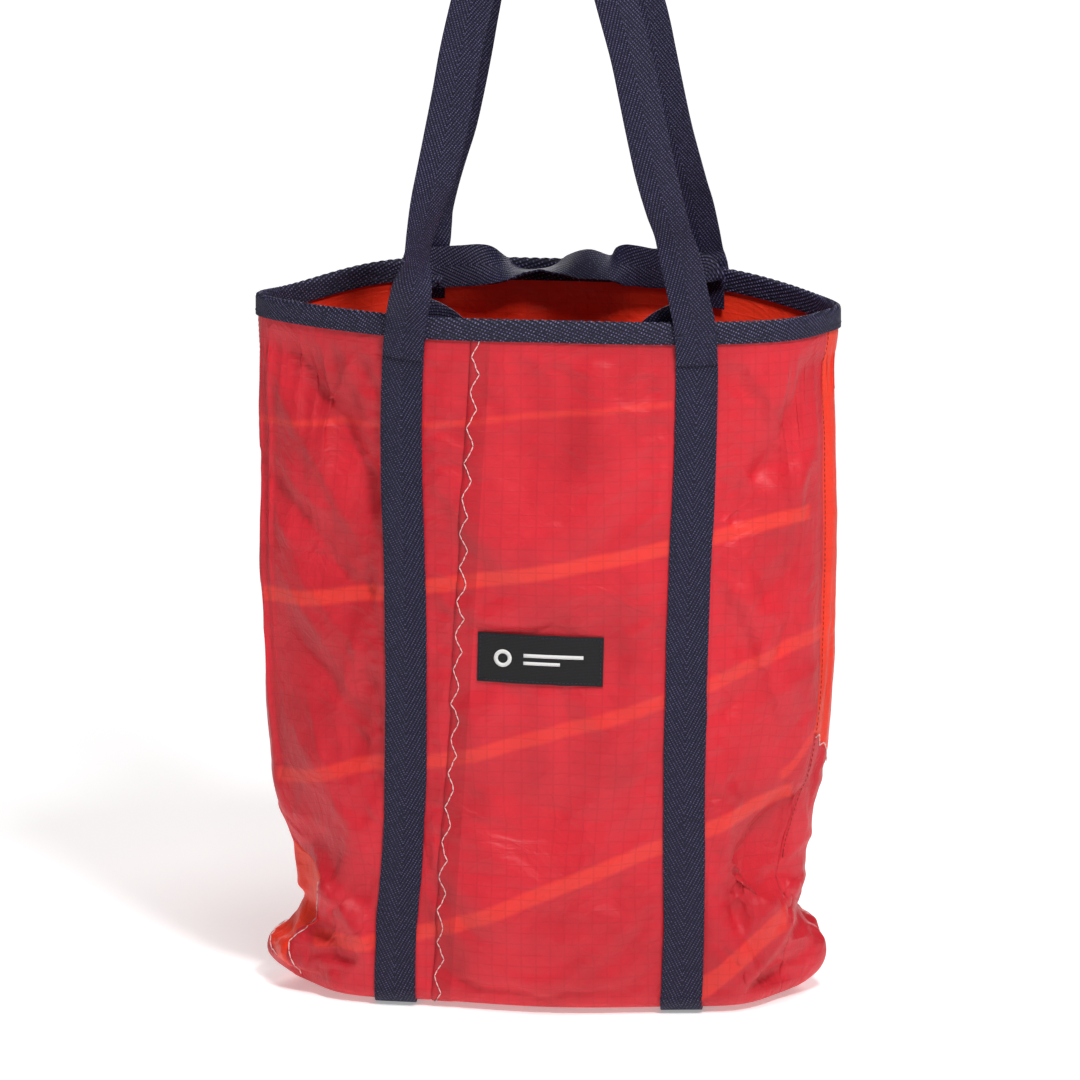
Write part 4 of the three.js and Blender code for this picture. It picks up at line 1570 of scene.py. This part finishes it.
@dataclass(frozen=True)
class LegStation:
    """A place on a long handle's leg: X, height above the rim, and how far the webbing is turned."""

    x: float
    rise: float
    turn: float


# The front handle hangs from the hand that holds the bag up: the left leg turns half on edge just
# above the rim, and the right one kinks a little.
LEGS = {
    Hand.LEFT: (
        LegStation(-77.5, 15, 12), LegStation(-75.5, 27, 42), LegStation(-74.0, 38, 58),
        LegStation(-71.0, 55, 50), LegStation(-67.0, 72, 36), LegStation(-61.5, 92, 18),
        LegStation(-56.0, 118, 4), LegStation(-51.8, 140, 0), LegStation(-48.0, 162, 0),
    ),
    Hand.RIGHT: (
        LegStation(89.5, 12, -4), LegStation(86.5, 26, -10), LegStation(82.5, 43, -12),
        LegStation(79.0, 55, -22), LegStation(75.0, 68, -14), LegStation(69.0, 90, -6),
        LegStation(63.0, 118, -2), LegStation(59.0, 138, 0), LegStation(54.0, 162, 0),
    ),
}  # fmt: skip


class LongHandles:
    """The two long handles, their ends sewn over the straps."""

    HINGE_Z = 0.4312
    HINGE_Y = 0.05975
    RISE = 0.292

    def __init__(self, shell: ClothShell, straps: BodyStraps, finishes: Finishes) -> None:
        """Keeps the shell, the straps and the finishes."""
        self.shell, self.straps, self.finishes = shell, straps, finishes
        self.half = shell.sizes.webbing / 2

    def _foot(self, side: Side, hand: Hand) -> tuple[list[Array], list[Array]]:
        """Stations on the bag, from the sewn end up to the rim."""
        line, shell = STRAP_LINES[hand], self.shell
        at, across = [], []
        for below in (0.0255, 0.018, 0.010, 0.003):
            s = shell.rim - below
            x = float(line.centre(shell.height_of(s), side))
            out = float(self.straps.rise(s)) + 1.5 * shell.sizes.webbing_thick + 0.35 * MM
            place = shell.on(side, x, s, out)[0]
            edge = shell.on(side, x + 2 * MM, s, out)[0] - shell.on(side, x - 2 * MM, s, out)[0]
            at.append(place)
            across.append(unit(edge) * -side.value)
        return at, across

    def _leg(self, side: Side, hand: Hand) -> tuple[list[Array], list[Array]]:
        """Stations of one leg from its sewn end to its shoulder."""
        at, across = self._foot(side, hand)
        for station in LEGS[hand]:
            share = station.rise * MM / self.RISE
            lean = 5 * MM * share
            turn = math.radians(station.turn) * (1 if side is Side.FRONT else 0.6)
            x = station.x * MM
            if side is Side.BACK:
                x += (1.5 * MM) * min(1.0, station.rise / 60)
            y = side.value * (self.HINGE_Y - lean)
            at.append(np.array([x, y, self.HINGE_Z + station.rise * MM]))
            across.append(np.array([math.cos(turn), math.sin(turn), 0.0]) * -side.value)
        return at, across

    def build(self) -> None:
        """Makes both handles."""
        for side in Side:
            name = f"long_handle_{side.name.lower()}"
            left_at, left_across = self._leg(side, Hand.LEFT)
            right_at, right_across = self._leg(side, Hand.RIGHT)
            sign = -side.value
            crown = (
                (-0.036, 0.215, 18), (-0.028, 0.245, 42), (-0.020, 0.272, 70), (0.002, 0.288, 90),
                (0.024, 0.272, 110), (0.034, 0.245, 138), (0.040, 0.215, 162),
            )  # fmt: skip
            at, across = list(left_at), list(left_across)
            for x, rise, turn in crown:
                lean = 5 * MM * rise / self.RISE
                y = side.value * (self.HINGE_Y - lean)
                at.append(np.array([x, y, self.HINGE_Z + rise]))
                angle = math.radians(turn)
                across.append(np.array([math.cos(angle) * sign, -math.sin(angle) * sign, 0.0]))
            at += right_at[::-1]
            across += [-a for a in right_across[::-1]]
            ribbon = Ribbon(at, across)

            def lay(u: Array, v: Array, ribbon: Ribbon = ribbon) -> Array:
                return ribbon.lay(u, v, self.half, 0.5 * MM)

            def chart(u: Array, v: Array, ribbon: Ribbon = ribbon) -> Array:
                return np.column_stack([(u - 0.5) * 2 * self.half, v * ribbon.length])

            piece = laid_sheet(name, 12, round(ribbon.length / (2.2 * MM)), lay, chart)
            thicken(piece, self.shell.sizes.webbing_thick, 0, 0.3 * MM)
            dress(piece, self.finishes.webbing)
            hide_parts(name)
            start, end = (0, 0, self.HINGE_Z - 4 * MM), (0, 0, self.HINGE_Z + 12 * MM)
            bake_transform(piece)
            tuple(start)
            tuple(end)
            log.info("%s: %.0f mm of webbing", name, ribbon.length / MM)


class ShortHandles:
    """The two short handles inside the mouth: the front one hangs in, the back one lies slack."""

    HINGE_Z = 0.4312
    FRONT_Y = -0.04088
    BACK_Y = 0.0394

    def __init__(self, shell: ClothShell, finishes: Finishes) -> None:
        """Keeps the shell and the finishes."""
        self.shell, self.finishes = shell, finishes
        self.half = shell.sizes.webbing / 2

    def _tab(self, side: Side, hand: Hand) -> None:
        """The sewn end of a short handle, against the inside of the binding."""
        shell, x = self.shell, STRAP_LINES[hand].x
        low, high = shell.rim - 0.024, shell.rim

        def lay(u: Array, v: Array) -> Array:
            s = low + (high - low) * v
            across = x + side.value * (2 * u - 1) * self.half
            return shell.on(side, across, s, -3.7 * MM)

        def chart(u: Array, v: Array) -> Array:
            return np.column_stack([(u - 0.5) * 2 * self.half, v * (high - low)])

        name = f"short_handle_{side.name.lower()}_tab_{hand.value}"
        piece = laid_sheet(name, 12, 16, lay, chart)
        thicken(piece, shell.sizes.webbing_thick, 1, 0.3 * MM)
        dress(piece, self.finishes.webbing)
        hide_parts(name)
        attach(piece, "front_straps" if side is Side.FRONT else "bag")

    def _ribbon(self, name: str, at: Sequence, across: Sequence, arch: float) -> None:
        """A short handle through its stations, in millimetres from its own places."""
        ribbon = Ribbon(np.array(at) * MM, across)

        def lay(u: Array, v: Array) -> Array:
            return ribbon.lay(u, v, self.half, arch)

        def chart(u: Array, v: Array) -> Array:
            return np.column_stack([(u - 0.5) * 2 * self.half, v * ribbon.length])

        piece = laid_sheet(name, 14, round(ribbon.length / (1.4 * MM)), lay, chart)
        thicken(piece, self.shell.sizes.webbing_thick, 0, 0.3 * MM)
        dress(piece, self.finishes.webbing)
        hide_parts(name)
        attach(piece, name)
        log.info("%s: %.0f mm of webbing", name, ribbon.length / MM)

    def build(self) -> None:
        """Makes the tabs and both handles."""
        for side in Side:
            for hand in Hand:
                self._tab(side, hand)
        self._front()
        self._back()

    def _front(self) -> None:
        """The front one: up from its tabs, over and down into the bag."""
        y = self.FRONT_Y / MM
        half = [  # X from the middle, Y and Z of each station, and its across direction
            ((-86, y, 425.5), (1, 0, 0)), ((-84.5, y - 1.0, 428.0), (0.95, 0, -0.3)),
            ((-78, y - 1.4, 427.5), (0.6, 0.1, -0.8)), ((-68, y - 0.4, 423.0), (0.1, 0.2, -1)),
            ((-57, y + 2.0, 412.5), (-0.4, 0.1, -0.9)), ((-42, y + 4.0, 400.0), (-0.45, 0, -0.9)),
            ((-22, y + 5.5, 390.0), (-0.25, 0, -0.97)),
        ]  # fmt: skip
        at = [(6 + x, py, z) for (x, py, z), _ in half]
        across = [a for _, a in half]
        at.append((6, y + 6.0, 388.0))
        across.append((0, 0, -1))
        at += [(6 - x, py, z) for (x, py, z), _ in half[::-1]]
        across += [(-ax, ay, az) for _, (ax, ay, az) in half[::-1]]
        self._ribbon("short_handle_front", at, across, 0.6 * MM)

    def _back(self) -> None:
        """The back one: a slack ribbon that twists along the top of the rim."""
        y = self.BACK_Y / MM

        def turned(degrees: float) -> tuple[float, float, float]:
            angle = math.radians(degrees)
            return (0.0, -math.sin(angle), -math.cos(angle))

        stations = [
            ((-80.0, y, 431.2), (1, 0, 0)),
            ((-78.5, y + 1.5, 436.0), (0.8, -0.1, -0.6)),
            ((-69.0, y + 4.0, 437.0), (0.15, -0.1, -1)),
            ((-54.0, y + 6.0, 437.8), turned(8)),
            ((-42.0, y + 7.5, 438.0), turned(28)),
            ((-31.0, y + 9.5, 435.5), turned(66)),
            ((-18.0, y + 11.0, 433.5), turned(100)),
            ((-6.0, y + 11.0, 434.5), turned(106)),
            ((6.0, y + 9.0, 438.5), turned(78)),
            ((20.0, y + 7.0, 439.5), turned(58)),
            ((33.0, y + 6.0, 438.0), turned(68)),
            ((40.5, y + 5.0, 440.0), turned(34)),
            ((48.0, y + 4.5, 440.2), turned(4)),
            ((60.0, y + 4.5, 438.8), turned(-6)),
            ((72.0, y + 4.0, 439.0), turned(2)),
            ((86.0, y + 2.5, 437.0), (-0.3, -0.05, -0.95)),
            ((91.0, y + 1.0, 435.0), (-0.9, 0, -0.4)),
            ((92.0, y, 431.2), (-1, 0, 0)),
        ]
        self._ribbon("short_handle_back", [p for p, _ in stations], [a for _, a in stations], 0.9 * MM)


class SeamThreads:
    """The zigzag down the front and across the back, and the topstitching at the sides."""

    def __init__(self, shell: ClothShell, body: ClothBody, finishes: Finishes) -> None:
        """Keeps the shell, the cloth that holds the seams' lines and the finishes."""
        self.shell, self.body, self.finishes = shell, body, finishes

    def _zigzag(self, steps: int) -> Array:
        """Offsets from side to side of a zigzag with three stitches to each run."""
        phase = np.arange(steps * 3 + 1) / 3
        return (1 - 2 * np.abs(1 - phase % 2)) * LAP.zigzag / 2

    def build(self) -> None:
        """Makes every row of stitches on the cloth."""
        self._front()
        self._back()
        self._sides()

    def _row(self, t: Array, s: Array, out: float) -> tuple[Array, Array]:
        """Needle points and outward directions along places t and s."""
        points = self.shell.at(t, s, out)
        return points, self.shell.at(t, s, out + MM) - points

    def _front(self) -> None:
        """The pale zigzag down the front seam, its corners where the needle turned."""
        shell = self.shell
        low, high = shell.edge * 0.9, shell.rim - shell.sizes.webbing / 2
        steps = round((high - low) / LAP.run)
        offset = self._zigzag(steps)
        s = np.linspace(low, high, len(offset))
        wander = 0.35 * MM * np.sin(np.arange(len(offset)) * 2.4)
        x = self.body.seam_x(s) + offset + wander
        row = self._row(shell.place(Side.FRONT, x, s), s, 0.75 * MM)
        piece = stitches("front_seam_thread", [row], 0.7 * MM, 0.6 * MM, 1.02)
        dress(piece, self.finishes.pale)
        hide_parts("front_seam_thread")
        flattens(piece)

    def _back(self) -> None:
        """The pale zigzag across the back, which comes round the left corner and climbs it."""
        shell = self.shell
        t = np.linspace(SIDE_RIGHT + 0.004, 0.985, 60)
        line = shell.at(t, self.body.back_seam_s(t))
        length = float(np.linalg.norm(np.diff(line, axis=0), axis=1).sum())
        offset = self._zigzag(round(length / LAP.run))
        t = np.linspace(t[0], t[-1], len(offset))
        s = self.body.back_seam_s(t)
        rows = [self._row(self.body.wrapped(t, s), s + offset, 0.6 * MM)]
        z = np.linspace(0.074, 0.010, 3 * round(0.066 / LAP.run) + 1)
        x = along_points(z, LEFT_EDGE_X) + 1.5 * MM + self._zigzag(round(0.066 / LAP.run)) * 0.9
        s = shell.s_of(z)
        rows.append(self._row(shell.place(Side.FRONT, x, s), s, 0.6 * MM))
        piece = stitches("back_seam_thread", rows, 0.75 * MM, 0.6 * MM, 1.02)
        dress(piece, self.finishes.pale)
        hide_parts("back_seam_thread")
        flattens(piece)

    def _sides(self) -> None:
        """Topstitching down the side seams, on the back piece, which wraps round to them."""
        shell = self.shell
        s = np.arange(float(shell.s_of(0.094)), shell.rim - 0.0125, 3.2 * MM)
        beside = 4 * MM / self.body.round
        for name, t in (("left", 1 - beside), ("right", SIDE_RIGHT + beside)):
            row = self._row(np.full_like(s, t), s, 0.25 * MM)
            title = f"side_seam_thread_{name}"
            piece = stitches(title, [row], 0.6 * MM, 0.5 * MM, 0.72)
            dress(piece, self.finishes.rust)
            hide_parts(title)
            flattens(piece)


class Label:
    """The small black label on the front, with a plain woven mark and a row of edge stitches."""

    WIDTH, HEIGHT = 0.076, 0.0305
    CENTRE_X, CENTRE_Z = 0.0003, 0.2218
    TILT = math.radians(-1.1)

    def __init__(self, shell: ClothShell, finishes: Finishes) -> None:
        """Keeps the shell and the finishes."""
        self.shell, self.finishes = shell, finishes

    def _on(self, across: Array, up: Array, out: Array) -> Array:
        """Points of the label's face, from its centre, in metres."""
        x = self.CENTRE_X + across * math.cos(self.TILT) - up * math.sin(self.TILT)
        z = self.CENTRE_Z + across * math.sin(self.TILT) + up * math.cos(self.TILT)
        s = self.shell.s_of(z)
        bow = 0.9 * MM * np.cos(np.pi * np.clip(across / self.WIDTH, -0.5, 0.5))
        return self.shell.on(Side.FRONT, x, s, out + bow)

    def _patch(self, name: str, box: tuple[float, float, float, float], out: float, thick: float,
               cells: tuple[int, int]) -> bpy.types.Object:  # fmt: skip
        """A flat rectangle of the label: x0, x1, z0, z1 from its centre."""
        x0, x1, z0, z1 = box

        def lay(u: Array, v: Array) -> Array:
            return self._on(x0 + (x1 - x0) * u, z0 + (z1 - z0) * v, np.full_like(u, out))

        def chart(u: Array, v: Array) -> Array:
            return np.column_stack([x0 + (x1 - x0) * u, z0 + (z1 - z0) * v])

        piece = laid_sheet(name, *cells, lay, chart)
        thicken(piece, thick, -1, 0.15 * MM)
        return piece

    def build(self) -> None:
        """Makes the label, its mark and its stitches."""
        half_w, half_h = self.WIDTH / 2, self.HEIGHT / 2
        patch = self._patch("label", (-half_w, half_w, -half_h, half_h), 1.0 * MM, 0.5 * MM, (60, 24))
        dress(patch, self.finishes.label)
        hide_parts("label")
        flattens(patch)
        self._mark()
        self._edge(half_w, half_h)

    def _mark(self) -> None:
        """A plain mark: a ring and two bars, woven in pale yarn."""
        bm = bmesh.new()
        centre = (-0.0225, 0.0)
        rings = (5.4 * MM, 3.0 * MM)
        bmesh.ops.create_circle(bm, cap_ends=False, segments=48, radius=rings[0])
        outer = list(bm.edges)
        made = bmesh.ops.create_circle(bm, cap_ends=False, segments=48, radius=rings[1])
        inner = list({e for v in made["verts"] for e in v.link_edges})
        bmesh.ops.bridge_loops(bm, edges=outer + inner)
        bars = ((-0.010, 0.026, 1.2 * MM, 3.4 * MM), (-0.010, 0.012, -3.4 * MM, -1.4 * MM))
        for x0, x1, z0, z1 in bars:
            place = Matrix.Translation(((x0 + x1) / 2 - centre[0], (z0 + z1) / 2, 0))
            size = Matrix.Diagonal((x1 - x0, z1 - z0, 1, 1))
            bmesh.ops.create_grid(bm, x_segments=12, y_segments=1, size=0.5, matrix=place @ size)
        layer = bm.loops.layers.uv.new("UVMap")
        flat = {v: v.co.xy.copy() for v in bm.verts}
        for face in bm.faces:
            for loop in face.loops:
                loop[layer].uv = flat[loop.vert]
        across = np.array([flat[v].x + centre[0] for v in bm.verts])
        up = np.array([flat[v].y + centre[1] for v in bm.verts])
        for vertex, place in zip(bm.verts, self._on(across, up, np.full_like(up, 1.25 * MM))):
            vertex.co = place
        bm.normal_update()
        inward = [f for f in bm.faces if f.normal.y > 0]
        bmesh.ops.reverse_faces(bm, faces=inward)
        piece = mesh_object("label_mark", bm)
        thicken(piece, 0.15 * MM, -1)
        dress(piece, self.finishes.mark)
        flattens(piece)

    def _edge(self, half_w: float, half_h: float) -> None:
        """The row of stitches just inside the label's edge."""
        inset = 1.6 * MM
        w, h = half_w - inset, half_h - inset
        corners = ((-w, -h), (w, -h), (w, h), (-w, h), (-w, -h))
        lines = []
        for (x0, z0), (x1, z1) in zip(corners[:-1], corners[1:]):
            count = round(math.hypot(x1 - x0, z1 - z0) / (2.6 * MM)) + 1
            across, up = np.linspace(x0, x1, count), np.linspace(z0, z1, count)
            points = self._on(across, up, np.full_like(up, 1.1 * MM))
            lines.append((points, self._on(across, up, np.full_like(up, 2.1 * MM)) - points))
        piece = stitches("label_stitches", lines, 0.5 * MM, 0.4 * MM, 0.7)
        dress(piece, self.finishes.navy)
        flattens(piece)


# ------------------------------------------------------------------------------------ the studio


@dataclass(frozen=True)
class Studio:
    """A pale floor, soft lights and the camera."""

    azimuth: float = math.radians(4.5)
    elevation: float = math.radians(15.0)
    distance: float = 9.0
    frame_width: float = 0.648
    aim: tuple[float, float, float] = (-0.0006, -0.054, 0.2938)

    def build(self) -> None:
        """Makes the floor, the lights and the camera."""
        self._floor()
        self._lights()
        self._camera()

    def _floor(self) -> None:
        """A wide pale floor."""
        bm = bmesh.new()
        bmesh.ops.create_grid(bm, x_segments=1, y_segments=1, size=6)
        floor = mesh_object("studio_floor", bm, smooth=False)
        recipe = Recipe("floor_paper")
        at = recipe.node("ShaderNodeTexCoord").outputs["Object"]
        fibre = recipe.noise(at, 300, 3, 0.6)
        colour = recipe.mix(recipe.sum("MULTIPLY", fibre, 0.1), linear("#FAFAFA"), linear("#F0F0F0"))
        floor.data.materials.append(
            recipe.finish(
                colour, recipe.sum("MULTIPLY", fibre, 0.02 * MM), Roughness=0.9,
                Emission_Color=linear("#FFFFFF"), Emission_Strength=0.32,
            )
        )  # fmt: skip

    def _lights(self) -> None:
        """A bright even room, a large soft key above the right shoulder and a gentle fill."""
        world = bpy.data.worlds.new("room")
        world.use_nodes = True
        world.node_tree.nodes["Background"].inputs[0].default_value = linear("#FFFFFF")
        world.node_tree.nodes["Background"].inputs[1].default_value = 0.13
        bpy.context.scene.world = world
        lamps = (
            ("key", (0.55, -1.05, 1.75), 0.35, 23.0),
            ("front", (0.20, -2.4, 0.9), 1.0, 1.0),
            ("top", (0.15, -0.60, 2.2), 0.6, 14.0),
            ("backdrop", (0.0, 7.5, 3.0), 4.0, 380.0),
        )
        for name, place, size, power in lamps:
            light = bpy.data.lights.new(name, "AREA")
            light.shape, light.size, light.energy = "DISK", size, power
            lamp = bpy.data.objects.new(name, light)
            lamp.location = place
            towards = Vector((0, 0, 0.28)) - Vector(place)
            lamp.rotation_euler = towards.to_track_quat("-Z", "Y").to_euler()
            bpy.context.scene.collection.objects.link(lamp)

    def _camera(self) -> None:
        """A long lens, a little to the right and above the mouth."""
        back = Vector((
            math.sin(self.azimuth) * math.cos(self.elevation),
            -math.cos(self.azimuth) * math.cos(self.elevation),
            math.sin(self.elevation),
        ))  # fmt: skip
        data = bpy.data.cameras.new("camera")
        data.sensor_width = 36
        data.lens = data.sensor_width * self.distance / self.frame_width
        camera = bpy.data.objects.new("camera", data)
        camera.location = Vector(self.aim) + back * self.distance
        camera.rotation_euler = (-back).to_track_quat("-Z", "Y").to_euler()
        bpy.context.scene.collection.objects.link(camera)
        bpy.context.scene.camera = camera


def main() -> None:
    """Builds the bag, sub-assembly by sub-assembly, then the studio."""
    logging.basicConfig(level=logging.INFO, format="%(name)s: %(message)s", stream=sys.stdout)
    bpy.context.scene.view_settings.view_transform = "Standard"
    finishes = Finishes()
    shell = ClothShell(BagSizes())
    ClothSag().apply(shell)
    body = ClothBody(shell, finishes)
    body.build()
    MouthBinding(shell, finishes).build()
    straps = BodyStraps(shell, finishes)
    straps.build()
    LongHandles(shell, straps, finishes).build()
    ShortHandles(shell, finishes).build()
    SeamThreads(shell, body, finishes).build()
    Label(shell, finishes).build()
    Studio().build()


if __name__ == "__main__":
    main()
